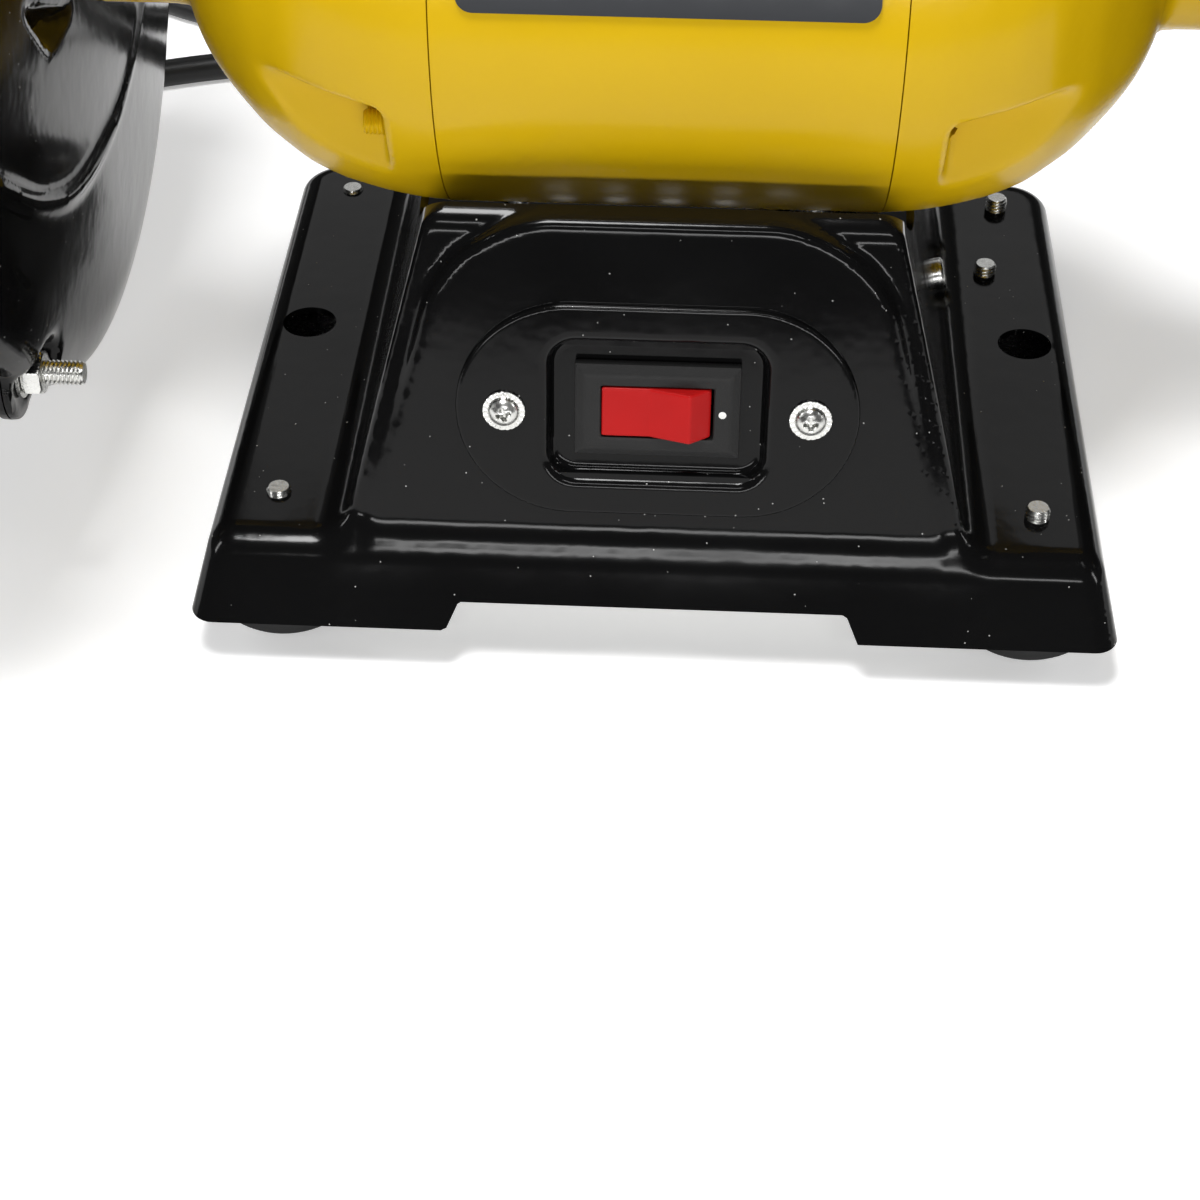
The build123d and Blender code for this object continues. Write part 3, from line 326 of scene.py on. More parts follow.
def clear_plastic():
    """The eye shields' lenses."""
    material, tree, shader = new_material("clear_shield")
    tint = ramp(tree, noise(tree, 30), [(0.3, (0.90, 0.95, 0.96)), (0.7, (0.95, 0.98, 0.98))])
    tree.links.new(tint, shader.inputs["Base Color"])
    shader.inputs["Roughness"].default_value = 0.06
    shader.inputs["IOR"].default_value = 1.58
    shader.inputs["Transmission Weight"].default_value = 0.95
    return material


MATERIALS = {
    "yellow_enamel": yellow_enamel(),
    "black_enamel": black_enamel(),
    "zinc_steel": metal("zinc_steel", (0.60, 0.60, 0.58), 0.26, 0.06, 300),
    "bare_steel": metal("bare_steel", (0.46, 0.46, 0.47), 0.32, 0.08, 200),
    "lamination_steel": metal("lamination_steel", (0.25, 0.25, 0.27), 0.45, 0.08, 500),
    "copper_wire": metal("copper_wire", (0.62, 0.28, 0.12), 0.30, 0.06, 600),
    "foot_rubber": plastic("foot_rubber", (0.016, 0.016, 0.016), 0.72, 0.35, 900),
    "black_plastic": plastic("black_plastic", (0.013, 0.013, 0.013), 0.42, 0.30, 2600, shine=0.15),
    "red_plastic": plastic("red_plastic", (0.37, 0.007, 0.007), 0.34, 0.05, 700, shine=0.10),
    "label_plate": plastic("label_plate", (0.022, 0.024, 0.028), 0.38, 0.04, 500),
    "cord_sheath": plastic("cord_sheath", (0.010, 0.010, 0.010), 0.40, 0.12, 700),
    "stone_coarse": abrasive(),
    "blotter_paper": plastic("blotter_paper", (0.62, 0.56, 0.42), 0.85, 0.4, 900),
    "clear_shield": clear_plastic(),
    "capacitor_case": plastic("capacitor_case", (0.72, 0.72, 0.70), 0.35, 0.05, 500),
}
slot_of = {entry["node"]: entry["material_slot"] for entry in frame["record"]["subparts"]}


for name, piece in nodes.items():
    piece.data.materials.clear()
    piece.data.materials.append(MATERIALS[slot_of[name]])
lead.data.materials.append(MATERIALS["cord_sheath"])


# ---------------------------------------------------------------- surfaces from distance fields, in mm
def smooth_union(a, b, r):
    """Union with a concave fillet of radius r."""
    return np.maximum(r, np.minimum(a, b)) - np.hypot(np.maximum(r - a, 0), np.maximum(r - b, 0))


def smooth_both(a, b, r):
    """Intersection with a convex edge of radius r."""
    return np.minimum(-r, np.maximum(a, b)) + np.hypot(np.maximum(r + a, 0), np.maximum(r + b, 0))


def ease(t):
    """Smooth step from 0 at t = 0 to 1 at t = 1."""
    t = np.clip(t, 0, 1)
    return t * t * (3 - 2 * t)


def left_of(u, v, start, end):
    """Signed distance to the line through two points, positive to the left of the way from start to end."""
    run, rise = end[0] - start[0], end[1] - start[1]
    return (run * (v - start[1]) - rise * (u - start[0])) / math.hypot(run, rise)


def slope_of(field, points, step=0.03):
    """Gradient of a field at points."""
    out = np.empty_like(points)
    for k in range(3):
        shift = np.zeros(3)
        shift[k] = step
        out[:, k] = (field(*(points + shift).T) - field(*(points - shift).T)) / (2 * step)
    return out


def settle(field, points, rounds):
    """Points moved onto the field's zero surface."""
    for _ in range(rounds):
        slope = slope_of(field, points)
        size = np.maximum((slope ** 2).sum(1), 0.05)
        step = field(*points.T) / size
        points = points - slope * np.clip(step, -2, 2)[:, None]
    return points


def isosurface(field, low, high, cell, relax=3):
    """Quads over the zero surface of a field, a vertex to a cell (surface nets), relaxed along it."""
    axes = [np.arange(a, b + cell, cell) for a, b in zip(low, high)]
    value = field(*np.meshgrid(*axes, indexing="ij")).astype(np.float32)
    inside = value < 0
    shape = tuple(n - 1 for n in value.shape)
    corners = [(i, j, k) for i in (0, 1) for j in (0, 1) for k in (0, 1)]

    def at(grid, corner):
        return grid[tuple(slice(c, c + n) for c, n in zip(corner, shape))]

    count = sum(at(inside, corner).astype(np.int8) for corner in corners)
    cells = np.argwhere((count > 0) & (count < 8))
    index = np.full(shape, -1)
    index[tuple(cells.T)] = np.arange(len(cells))
    total, hits = np.zeros((len(cells), 3)), np.zeros(len(cells))
    for a in corners:
        for k in range(3):
            if a[k]:
                continue
            b = tuple(1 if n == k else c for n, c in enumerate(a))
            va, vb = value[tuple((cells + a).T)], value[tuple((cells + b).T)]
            crossed = (va < 0) != (vb < 0)
            t = np.where(crossed, va / np.where(crossed, va - vb, 1), 0)
            place = np.array(a, float) + np.zeros((len(cells), 3))
            place[:, k] += t
            total += place * crossed[:, None]
            hits += crossed
    points = np.array(low) + (cells + total / hits[:, None]) * cell
    quads = []
    for k in range(3):
        u, v = (k + 1) % 3, (k + 2) % 3
        near = [slice(1, n) for n in shape]
        near[k] = slice(0, shape[k])
        far = list(near)
        far[k] = slice(1, shape[k] + 1)
        a, b = inside[tuple(near)], inside[tuple(far)]
        for edge, order in ((a & ~b, (0, 1, 2, 3)), (~a & b, (3, 2, 1, 0))):
            where = np.argwhere(edge)
            where[:, u] += 1
            where[:, v] += 1
            ring = []
            for du, dv in ((1, 1), (0, 1), (0, 0), (1, 0)):
                spot = where.copy()
                spot[:, u] -= du
                spot[:, v] -= dv
                ring.append(index[tuple(spot.T)])
            quads.append(np.stack([ring[n] for n in order], 1))
    quads = np.concatenate(quads)
    quads = quads[(quads >= 0).all(1)]
    points = settle(field, points, 3)
    ends = np.concatenate([quads[:, [n, (n + 1) % 4]] for n in range(4)])
    ends = np.concatenate([ends, ends[:, ::-1]])
    share = np.maximum(np.bincount(ends[:, 0], minlength=len(points)), 1)[:, None]
    for _ in range(relax):
        mean = np.stack([np.bincount(ends[:, 0], points[ends[:, 1], n], len(points))
                         for n in range(3)], 1)
        points = settle(field, points + 0.5 * (mean / share - points), 2)
    return points, np.concatenate([quads[:, [0, 1, 2]], quads[:, [0, 2, 3]]])


def clip(surface, outside):
    """The part of a triangle mesh where outside(x, y, z) is negative, cut cleanly along its zero line."""
    points, tris = surface
    value = outside(*points.T)
    gone = value[tris] > 0
    kept = tris[~gone.any(1)]
    cut, cut_gone = tris[gone.any(1) & ~gone.all(1)], gone[gone.any(1) & ~gone.all(1)]
    odd_is_gone = cut_gone.sum(1) == 1
    odd = np.where(odd_is_gone, cut_gone.argmax(1), (~cut_gone).argmax(1))
    rows = np.arange(len(cut))
    a, b, c = (cut[rows, (odd + n) % 3] for n in range(3))
    pairs, place = np.unique(np.sort(np.concatenate([np.stack([a, b], 1), np.stack([a, c], 1)]), 1),
                             axis=0, return_inverse=True)
    place = place.reshape(-1)
    va, vb = value[pairs[:, 0]], value[pairs[:, 1]]
    t = (va / (va - vb))[:, None]
    fresh = points[pairs[:, 0]] * (1 - t) + points[pairs[:, 1]] * t
    ab, ac = len(points) + place[:len(cut)], len(points) + place[len(cut):]
    g, k = odd_is_gone, ~odd_is_gone
    tris = np.concatenate([kept, np.stack([a, ab, ac], 1)[k],
                           np.stack([ab, b, c], 1)[g], np.stack([ab, c, ac], 1)[g]])
    points = np.concatenate([points, fresh])
    used, tris = np.unique(tris, return_inverse=True)
    return points[used], tris.reshape(-1, 3)


def shell(surface, field, thickness):
    """A sheet of that thickness, inward from an open surface."""
    points, tris = surface
    normal = slope_of(field, points)
    normal /= np.linalg.norm(normal, axis=1)[:, None]
    inner = points - thickness * normal
    ends = np.concatenate([tris[:, [0, 1]], tris[:, [1, 2]], tris[:, [2, 0]]])
    code = ends[:, 0] * len(points) + ends[:, 1]
    back = ends[:, 1] * len(points) + ends[:, 0]
    rim = ends[~np.isin(code, back)]
    n = len(points)
    walls = np.concatenate([np.stack([rim[:, 1], rim[:, 0], rim[:, 0] + n], 1),
                            np.stack([rim[:, 1], rim[:, 0] + n, rim[:, 1] + n], 1)])
    return np.concatenate([points, inner]), np.concatenate([tris, tris[:, ::-1] + n, walls])


SHARP_EDGE = math.radians(40)


def add_piece(name, surface, slot, body="root", stands_for=()):
    """A Blender object from (points in mm, faces), riding on a body."""
    points, faces = surface
    mesh = bpy.data.meshes.new(name)
    mesh.from_pydata((np.asarray(points) * MM).tolist(), [], [list(map(int, f)) for f in faces])
    mesh.validate()
    mesh.polygons.foreach_set("use_smooth", [True] * len(mesh.polygons))
    mesh.set_sharp_from_angle(angle=SHARP_EDGE)
    piece = bpy.data.objects.new(name, mesh)
    bpy.context.scene.collection.objects.link(piece)
    mesh.materials.append(MATERIALS[slot])
    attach(piece, body)
    if stands_for:
        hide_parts(*stands_for)


# ---------------------------------------------------------------- pressed base
RIM_Z, LEDGE_Z, SADDLE_TOP_Z = 10.5, 25.8, 90.0
SKIN = 1.5
# how far out each leaning wall stands at its lower and its upper height
RIM_HEIGHTS, WALL_HEIGHTS = (RIM_Z, LEDGE_Z), (LEDGE_Z, SADDLE_TOP_Z)
RIM_SIDE, RIM_FRONT, RIM_REAR = (89.2, 85.0), (81.3, 73.0), (71.5, 67.5)
WALL_SIDE, WALL_FRONT, WALL_REAR = (59.5, 42.4), (70.9, 61.2), (64.0, 55.0)
ARCH_INSET, ARCH_R = 3.9, 19.0        # the front panel's own edge inside the saddle's side
EDGE_R, FRONT_CORNER_R, REAR_CORNER_R = 1.8, 4.5, 8.0
SADDLE_R, LEDGE_R, CREASE_R = 4.5, 4.0, 5.5
CRADLE_R, CRADLE_Z = 75.5, 141.2      # bears on the motor at the bottom only
NOTCH_HALF, NOTCH_TOP_Z = 37.0, 15.5
BENCH_HOLE_X, BENCH_HOLE_R = 75.9, 5.66
PANEL_Z, SWITCH_HALF_X, SWITCH_HALF_Z = 53.2, 20.9, 13.0
BASE_CELL = 1.05


def leaning(offset, z, heights, places):
    """Signed distance to a wall that leans from places[0] at heights[0] to places[1] at heights[1]."""
    lean = (places[1] - places[0]) / (heights[1] - heights[0])
    return (offset - (places[0] + (z - heights[0]) * lean)) / math.hypot(1, lean)


def base_field(x, y, z):
    side = leaning(np.abs(x), z, RIM_HEIGHTS, RIM_SIDE)
    apron = leaning(-y, z, RIM_HEIGHTS, RIM_FRONT)
    rear = leaning(y, z, RIM_HEIGHTS, RIM_REAR)
    rim = smooth_both(smooth_both(side, apron, FRONT_CORNER_R), rear, REAR_CORNER_R)
    wall_front = leaning(-y, z, WALL_HEIGHTS, WALL_FRONT)
    wall_side = leaning(np.abs(x), z, WALL_HEIGHTS, WALL_SIDE)
    wall_rear = leaning(y, z, WALL_HEIGHTS, WALL_REAR)
    # the saddle's front lies behind the front panel, further back the higher up
    behind = 0.3 + 2.4 * ease((z - 30) / 40)
    saddle = smooth_both(smooth_both(wall_side, wall_front + behind, EDGE_R), wall_rear, SADDLE_R)
    saddle = smooth_both(saddle, z - SADDLE_TOP_Z, SADDLE_R)
    # the front panel stands proud of the saddle, arched at its top
    arch = smooth_both(wall_side + ARCH_INSET, z - SADDLE_TOP_Z, ARCH_R)
    panel = smooth_both(np.maximum(arch, y + 40), wall_front, EDGE_R)
    saddle = smooth_union(saddle, panel, 0.2 + 2.0 * ease((89 - z) / 8))
    return smooth_union(saddle, smooth_both(z - LEDGE_Z, rim, LEDGE_R), CREASE_R)


def holes(x, y, z):
    """Positive where the sheet is cut away, each hole through one wall only."""
    notch = np.minimum.reduce([NOTCH_HALF + (NOTCH_TOP_Z - z) * 0.5 - np.abs(x), NOTCH_TOP_Z - z, -70 - y])
    bench = np.minimum(BENCH_HOLE_R - np.hypot(np.abs(x) - BENCH_HOLE_X, y), 30 - z)
    switch = np.minimum.reduce([SWITCH_HALF_X - np.abs(x), SWITCH_HALF_Z - np.abs(z - PANEL_Z), -50 - y])
    cradle = CRADLE_R - np.hypot(y, z - CRADLE_Z)
    return np.maximum.reduce([notch, bench, switch, cradle, RIM_Z - z])


def make_base():
    skin = isosurface(base_field, (-92.3, -84.3, 7.1), (92.3, 74.7, 93.3), BASE_CELL)
    sheet = shell(clip(skin, holes), base_field, SKIN)
    add_piece("base_shell", sheet, "black_enamel", stands_for=["base_pan"])


make_base()


# ---------------------------------------------------------------- motor
# (distance out, radius) along the dome of an end bell, from the tube's end to its flat end
BELL_OUTLINE = [(40.7, 56.2), (47.5, 55.6), (54.0, 54.4), (61.0, 52.5), (67.5, 49.7), (75.6, 43.7),
                (81.9, 36.9), (86.0, 31.5), (88.4, 27.0), (90.6, 20.7), (92.0, 14.0)]
TUBE_END, BELL_END = BELL_OUTLINE[0][0], BELL_OUTLINE[-1][0]
SEAM = 0.25
NECK_R, NECK_FILLET_R = 20.7, 2.5
BELL_SKIN, BELL_CELL = 2.6, 1.2
TIE_Y, TIE_RISE, TIE_HOLE_R = 46.0, 22.0, 2.6       # the tie bolts, from the spindle's axis
# the hollow at the front and back of a bell that gives room for the tie bolts
POCKET_START, POCKET_HALF_RISE, POCKET_FLOOR = 50.2, 16.3, 43.4
POCKET_CORNER_R, POCKET_END_R, POCKET_LIP_R = 4.5, 2.0, 1.1


def bell_field(side):
    reach = GUARD_X[side]
    knots = np.linspace(TUBE_END, BELL_END, 200)
    outs, radii = zip(*BELL_OUTLINE)
    radius_at = np.interp(knots, outs, radii)
    for _ in range(60):
        radius_at[1:-1] = (radius_at[:-2] + 2 * radius_at[1:-1] + radius_at[2:]) / 4
    steep = np.gradient(radius_at, knots)

    def field(x, y, z):
        out, rho = side * x, np.hypot(y, z - SPINDLE_Z)
        dome = (rho - np.interp(out, knots, radius_at)) / np.hypot(1, np.interp(out, knots, steep))
        dome = np.maximum(dome, out - BELL_END)
        # the pocket narrows outward, and 0.97 makes its leaning wall a distance again
        ceiling = POCKET_HALF_RISE - 5.5 * (out - POCKET_START) / 24
        wall = (ceiling - np.abs(z - SPINDLE_Z)) * 0.97
        pocket = smooth_both(POCKET_FLOOR - np.abs(y), wall, POCKET_CORNER_R)
        pocket = smooth_both(pocket, POCKET_START - out, POCKET_END_R)
        dome = smooth_both(dome, -pocket, POCKET_LIP_R)
        neck = np.maximum(rho - NECK_R, out - reach - 4)
        return smooth_union(dome, neck, NECK_FILLET_R)
    return field


def make_bell(name, side):
    field = bell_field(side)
    ends = sorted((side * 37.2, side * (GUARD_X[side] + 2.5)))
    skin = isosurface(field, (ends[0], -59.4, 63.0), (ends[1], 59.4, 181.8), BELL_CELL)

    def beyond(x, y, z):
        out, rise = side * x, np.abs(z - SPINDLE_Z)
        bolt = np.minimum(TIE_HOLE_R - np.hypot(np.abs(y) - TIE_Y, rise - TIE_RISE), 60 - out)
        return np.maximum.reduce([TUBE_END + SEAM - out, out - GUARD_X[side], bolt])

    add_piece(f"{name}_bell_casting", shell(clip(skin, beyond), field, BELL_SKIN), "yellow_enamel",
              stands_for=[f"{name}_end_bell"])


for name, side in SIDES.items():
    make_bell(name, side)


# ---------------------------------------------------------------- wheel guards
GUARD_R, GUARD_SPLIT, SPLIT_GAP, COVER_OUT = 94.5, 13.5, 0.15, 48.0
# (radius, distance out) where the guard's and the cover's dishes bend
GUARD_BENDS = [(72.5, 0.0), (90.0, 3.2), (GUARD_R, 7.5)]
COVER_BENDS = [(77.5, COVER_OUT), (91.5, 44.5), (GUARD_R, 41.0)]
GUARD_ROUNDS, COVER_ROUNDS = (14.0, 7.0, 4.0), (8.0, 5.0, 3.0)      # radii of those bends
GUARD_CELL, COVER_CELL = 1.2, 1.5
SHAFT_HOLE_R = 9.3
EAR_CIRCLE_R, EAR_R, EAR_EDGE_R, EAR_FILLET_R, EAR_HOLE_R = 91.8, 9.2, 1.0, 2.0, 2.6
CUP_R, CUP_FLOOR, CUP_BOTTOM_R, CUP_LIP_R = 6.7, 12.0, 2.5, 1.6      # the hollow over each bolt's nut
EAR_ANGLES = (-48.7, -165.0, 112.0)         # up from straight ahead of the spindle
MOUTH_LOW, MOUTH_HIGH, MOUTH_R = -20.0, 62.0, 62.0
MOUTH_RIM = 9.0                             # on the guard, only what stands further out is cut
# (y, z) of the stiffening rib and of the V-shaped recess pressed into the guard's inner face
RIB = [(25.0, 87.2), (10.4, 81.2), (-12.0, 77.7), (-39.0, 80.3), (-59.5, 89.3), (-78.0, 103.4)]
RIB_DEPTH, RIB_WIDTH = 1.7, 2.1
VEE = [(-44.8, 109.9), (-59.4, 129.2), (-24.0, 111.6)]
VEE_DEPTH = 5.0
RING_R = 30.0                               # swelling on the cover


def around(r, angle):
    """(y, z) at an angle up from straight ahead of the spindle."""
    return -r * math.cos(math.radians(angle)), SPINDLE_Z + r * math.sin(math.radians(angle))


def smooth_path(points, steps=12):
    """Catmull-Rom line through points."""
    p = np.array([points[0], *points, points[-1]], float)
    t = np.linspace(0, 1, steps, endpoint=False)[:, None]
    line = [0.5 * (2 * b + (c - a) * t + (2 * a - 5 * b + 4 * c - d) * t ** 2
                   + (3 * b - a - 3 * c + d) * t ** 3)
            for a, b, c, d in zip(p, p[1:], p[2:], p[3:])]
    return np.concatenate([*line, p[-1:]])


def near_path(y, z, line):
    """Distance from (y, z) to a line of points."""
    best = np.full(np.shape(y), 1e3)
    for (ya, za), (yb, zb) in zip(line, line[1:]):
        length = (yb - ya) ** 2 + (zb - za) ** 2
        t = np.clip(((y - ya) * (yb - ya) + (z - za) * (zb - za)) / length, 0, 1)
        best = np.minimum(best, np.hypot(y - ya - t * (yb - ya), z - za - t * (zb - za)))
    return best


def inside_polygon(y, z, corners, r):
    """Negative inside a convex polygon, its corners given clockwise and rounded to radius r."""
    edges = [left_of(y, z, start, end) for start, end in zip(corners, corners[1:] + corners[:1])]
    made = edges[0]
    for edge in edges[1:]:
        made = smooth_both(made, edge, r)
    return made


def ears(y, z, radius):
    """Negative inside the rounds of that radius about the cover bolts."""
    return np.minimum.reduce([np.hypot(y - a, z - b) - radius
                              for a, b in (around(EAR_CIRCLE_R, angle) for angle in EAR_ANGLES)])


def dished(face, rho, flank, corner, rounds):
    """A flat face that bends twice, then turns into the round rim."""
    for wall, r in zip((flank, corner, rho - GUARD_R), rounds):
        face = smooth_both(face, wall, r)
    return face


def guard_field(side):
    rib = smooth_path(RIB)
    inner, middle, outer = GUARD_BENDS

    def field(x, y, z):
        out, rho = side * x - GUARD_X[side], np.hypot(y, z - SPINDLE_Z)
        flank, corner = left_of(rho, out, middle, inner), left_of(rho, out, outer, middle)
        dish = dished(-out, rho, flank, corner, GUARD_ROUNDS)
        # both pressings fade out where the face turns into the rim
        fade = ease((9 - out) / 3)
        ridge = np.exp(-(near_path(y, z, rib) / RIB_WIDTH) ** 2)
        dish = dish - RIB_DEPTH * ridge * fade * ease((rho - 38) / 8) * ease((88 - rho) / 8)
        vee = inside_polygon(y, z, VEE, 4.0)
        dish = dish + VEE_DEPTH * ease(-vee / VEE_DEPTH) * fade
        lug = smooth_both(ears(y, z, EAR_R), GUARD_SPLIT - 1.5 - out, EAR_EDGE_R)
        dish = smooth_union(dish, lug, EAR_FILLET_R)
        cup = smooth_both(ears(y, z, CUP_R), out - CUP_FLOOR, CUP_BOTTOM_R)
        return smooth_both(dish, -cup, CUP_LIP_R)
    return field


def cover_field(side):
    ring = [(RING_R * math.cos(a), SPINDLE_Z + RING_R * math.sin(a)) for a in np.linspace(0, 6.3, 25)]
    inner, middle, outer = COVER_BENDS

    def field(x, y, z):
        out, rho = side * x - GUARD_X[side], np.hypot(y, z - SPINDLE_Z)
        flank, corner = left_of(rho, out, inner, middle), left_of(rho, out, middle, outer)
        dish = dished(out - COVER_OUT, rho, flank, corner, COVER_ROUNDS)
        dish = dish + 1.0 * ease((6 - near_path(y, z, ring)) / 4) * ease((out - 40) / 4)
        lug = smooth_both(ears(y, z, EAR_R), out - GUARD_SPLIT - 2.5, EAR_EDGE_R)
        return smooth_union(dish, lug, EAR_FILLET_R)
    return field


def mouth(y, z):
    """Positive inside the wheel's opening at the front of a guard."""
    rho, angle = np.hypot(y, z - SPINDLE_Z), np.degrees(np.arctan2(z - SPINDLE_Z, -y))
    within = np.radians(np.minimum(angle - MOUTH_LOW, MOUTH_HIGH - angle))
    return np.minimum(within * np.maximum(rho, 1), rho - MOUTH_R)


def make_guards(name, side):
    at = GUARD_X[side]
    low_z, high_z = SPINDLE_Z - 98.4, SPINDLE_Z + 98.4

    def guard_hole(x, y, z):
        out = side * x - at
        opening = np.minimum(mouth(y, z), out - MOUTH_RIM)
        shaft = SHAFT_HOLE_R - np.hypot(y, z - SPINDLE_Z)
        return np.maximum.reduce([out - GUARD_SPLIT + SPLIT_GAP, opening, -ears(y, z, EAR_HOLE_R), shaft])

    def cover_hole(x, y, z):
        out = side * x - at
        return np.maximum.reduce([GUARD_SPLIT + SPLIT_GAP - out, mouth(y, z), -ears(y, z, EAR_HOLE_R)])

    for part, field, hole, cell, reach in (
            ("guard", guard_field(side), guard_hole, GUARD_CELL, (-4.4, 17.6)),
            ("guard_cover", cover_field(side), cover_hole, COVER_CELL, (9.6, 50.4))):
        low_x, high_x = sorted(side * (at + out) for out in reach)
        skin = isosurface(field, (low_x, -98.4, low_z), (high_x, 103.2, high_z), cell)
        add_piece(f"{name}_{part}_pressing", shell(clip(skin, hole), field, SKIN), "black_enamel",
                  stands_for=[f"{name}_{part}"])


for name, side in SIDES.items():
    make_guards(name, side)


# ---------------------------------------------------------------- small shapes in their own frames, in mm
def placed(surface, origin, right, out):
    """A surface drawn in (right, up, out) coordinates, moved to where that frame stands."""
    points, faces = surface
    right, out = np.array(right, float), np.array(out, float)
    return np.array(origin) + np.asarray(points) @ np.array([right, np.cross(out, right), out]), faces


def joined(surfaces):
    """Several surfaces as one."""
    points, faces, count = [], [], 0
    for some, more in surfaces:
        points.append(np.asarray(some, float))
        faces += [[count + int(n) for n in face] for face in more]
        count += len(some)
    return np.concatenate(points), faces


def ring_faces(rings, sides):
    """Faces through rings of points one above the other, with both ends closed."""
    faces = []
    for low in range(0, (rings - 1) * sides, sides):
        for m in range(sides):
            ahead = (m + 1) % sides
            faces.append((low + m, low + ahead, low + sides + ahead, low + sides + m))
    last = (rings - 1) * sides
    return faces + [list(range(sides))[::-1], list(range(last, last + sides))]


def lathe(profile, sides=32):
    """(radius, height) points turned about the out axis."""
    points = [(r * math.cos(a), r * math.sin(a), n) for r, n in profile
              for a in np.linspace(0, 2 * math.pi, sides, endpoint=False)]
    return points, ring_faces(len(profile), sides)


def threaded(r, low, high, pitch=0.8, sides=24, steps=6):
    """A screw's threaded end from height low to high, with its tip turned down."""
    heights = np.linspace(low, high, int((high - low) / pitch * steps) + 2)
    points = []
    for n in heights:
        for m in range(sides):
            phase = (n / pitch - m / sides) % 1
            radius = min(r - 0.55 * pitch * abs(2 * phase - 1), r - 0.6 * pitch + 0.8 * (high - n))
            angle = 2 * math.pi * m / sides
            points.append((radius * math.cos(angle), radius * math.sin(angle), n))
    return points, ring_faces(len(heights), sides)


def hexagon(u, v, half):
    """Signed distance to a hexagon of that half width across its flats."""
    flats = [np.abs(math.cos(a) * u + math.sin(a) * v) for a in (0, math.pi / 3, 2 * math.pi / 3)]
    return np.maximum.reduce(flats) - half


def hex_block(half, low, high, both_ends=True):
    """A nut or screw head with its corners turned off at the top, or at both ends."""
    chamfer, scale = 0.58, 0.86      # 30 degrees

    def field(u, v, n):
        corner = (np.hypot(u, v) - 0.95 * half) * chamfer
        made = np.maximum.reduce([hexagon(u, v, half), n - high, low - n, (n - high + corner) * scale])
        return np.maximum(made, (low - n + corner) * scale) if both_ends else made
    reach = 1.16 * half + 0.5
    return isosurface(field, (-reach, -reach, low - 0.6), (reach, reach, high + 0.6), 0.3, relax=1)


def rounded_box(u, v, half_u, half_v, r):
    """Signed distance to a rectangle with corners of radius r."""
    du, dv = np.abs(u) - half_u + r, np.abs(v) - half_v + r
    return np.hypot(np.maximum(du, 0), np.maximum(dv, 0)) + np.minimum(np.maximum(du, dv), 0) - r


# ---------------------------------------------------------------- switch panel
PLATE_T, RECESS = 1.2, 3.5
LEAN = math.atan((WALL_FRONT[0] - WALL_FRONT[1]) / (SADDLE_TOP_Z - LEDGE_Z))
PANEL_OUT = (0, -math.cos(LEAN), math.sin(LEAN))
PANEL_AT = (0, -WALL_FRONT[0] + (PANEL_Z - LEDGE_Z) * math.tan(LEAN), PANEL_Z)
PLATE_SCREW_TURNS = {-28.3: 0.3, 28.3: 0.05}     # place along the panel, and turn of the cross
PLATE_HALF_STRAIGHT, PLATE_END_R, PLATE_EDGE_R = 15.96, 21.43, 0.7
PIT_HALF_U, PIT_HALF_V, PIT_R = 19.9, 13.9, 5.0
PIT_BOTTOM_R, PIT_LIP_R = 1.6, 2.2
PIT_FLOOR = PLATE_T - RECESS
BEZEL_FACE = PIT_FLOOR + 3.0
BEZEL_HALF_U, BEZEL_HALF_V = 15.3, 9.3
FLAT_HALF_U, FLAT_HALF_V = 13.6, 7.5        # the face inside the bevel
BODY_HALF_U, BODY_HALF_V, BODY_LOW = 13.4, 7.4, -19.3
WELL_HALF_U, WELL_HALF_V, WELL_LOW = 10.4, 5.25, -14.3      # the rocker's opening
ROCKER_HALF_U, ROCKER_HALF_V = 9.85, 4.98
DOT_U, DOT_R = 12.05, 0.72
PAN_TOP, WASHER_TEETH = 2.6, 22


def on_panel(surface, u=0.0, n=0.0, turn=0.0):
    """A surface drawn flat, moved onto the front panel u along it and n off its skin."""
    right = (math.cos(turn), math.sin(turn) * math.sin(LEAN), math.sin(turn) * math.cos(LEAN))
    return placed(surface, np.array(PANEL_AT) + (u, 0, 0) + n * np.array(PANEL_OUT), right, PANEL_OUT)


def make_switch_plate():
    """A stadium-shaped plate with a pit pressed into it for the switch."""
    def pit(u, v):
        return rounded_box(u, v, PIT_HALF_U, PIT_HALF_V, PIT_R)

    def field(u, v, n):
        outline = np.hypot(np.maximum(np.abs(u) - PLATE_HALF_STRAIGHT, 0), v) - PLATE_END_R
        hollow = smooth_both(pit(u, v), PIT_FLOOR - n, PIT_BOTTOM_R)
        return smooth_both(smooth_both(outline, n - PLATE_T, PLATE_EDGE_R), -hollow, PIT_LIP_R)

    def outside(u, v, n):
        gap = 0.2
        opening = np.minimum.reduce([BODY_HALF_U + gap - np.abs(u), BODY_HALF_V + gap - np.abs(v), -1 - n])
        return np.maximum(np.minimum(-n, pit(u, v) - PLATE_T), opening)

    skin = isosurface(field, (-38.4, -22.4, -3.4), (38.4, 22.4, 2.2), 0.5)
    add_piece("switch_plate_pressing", on_panel(shell(clip(skin, outside), field, PLATE_T)), "black_enamel",
              stands_for=["switch_plate"])


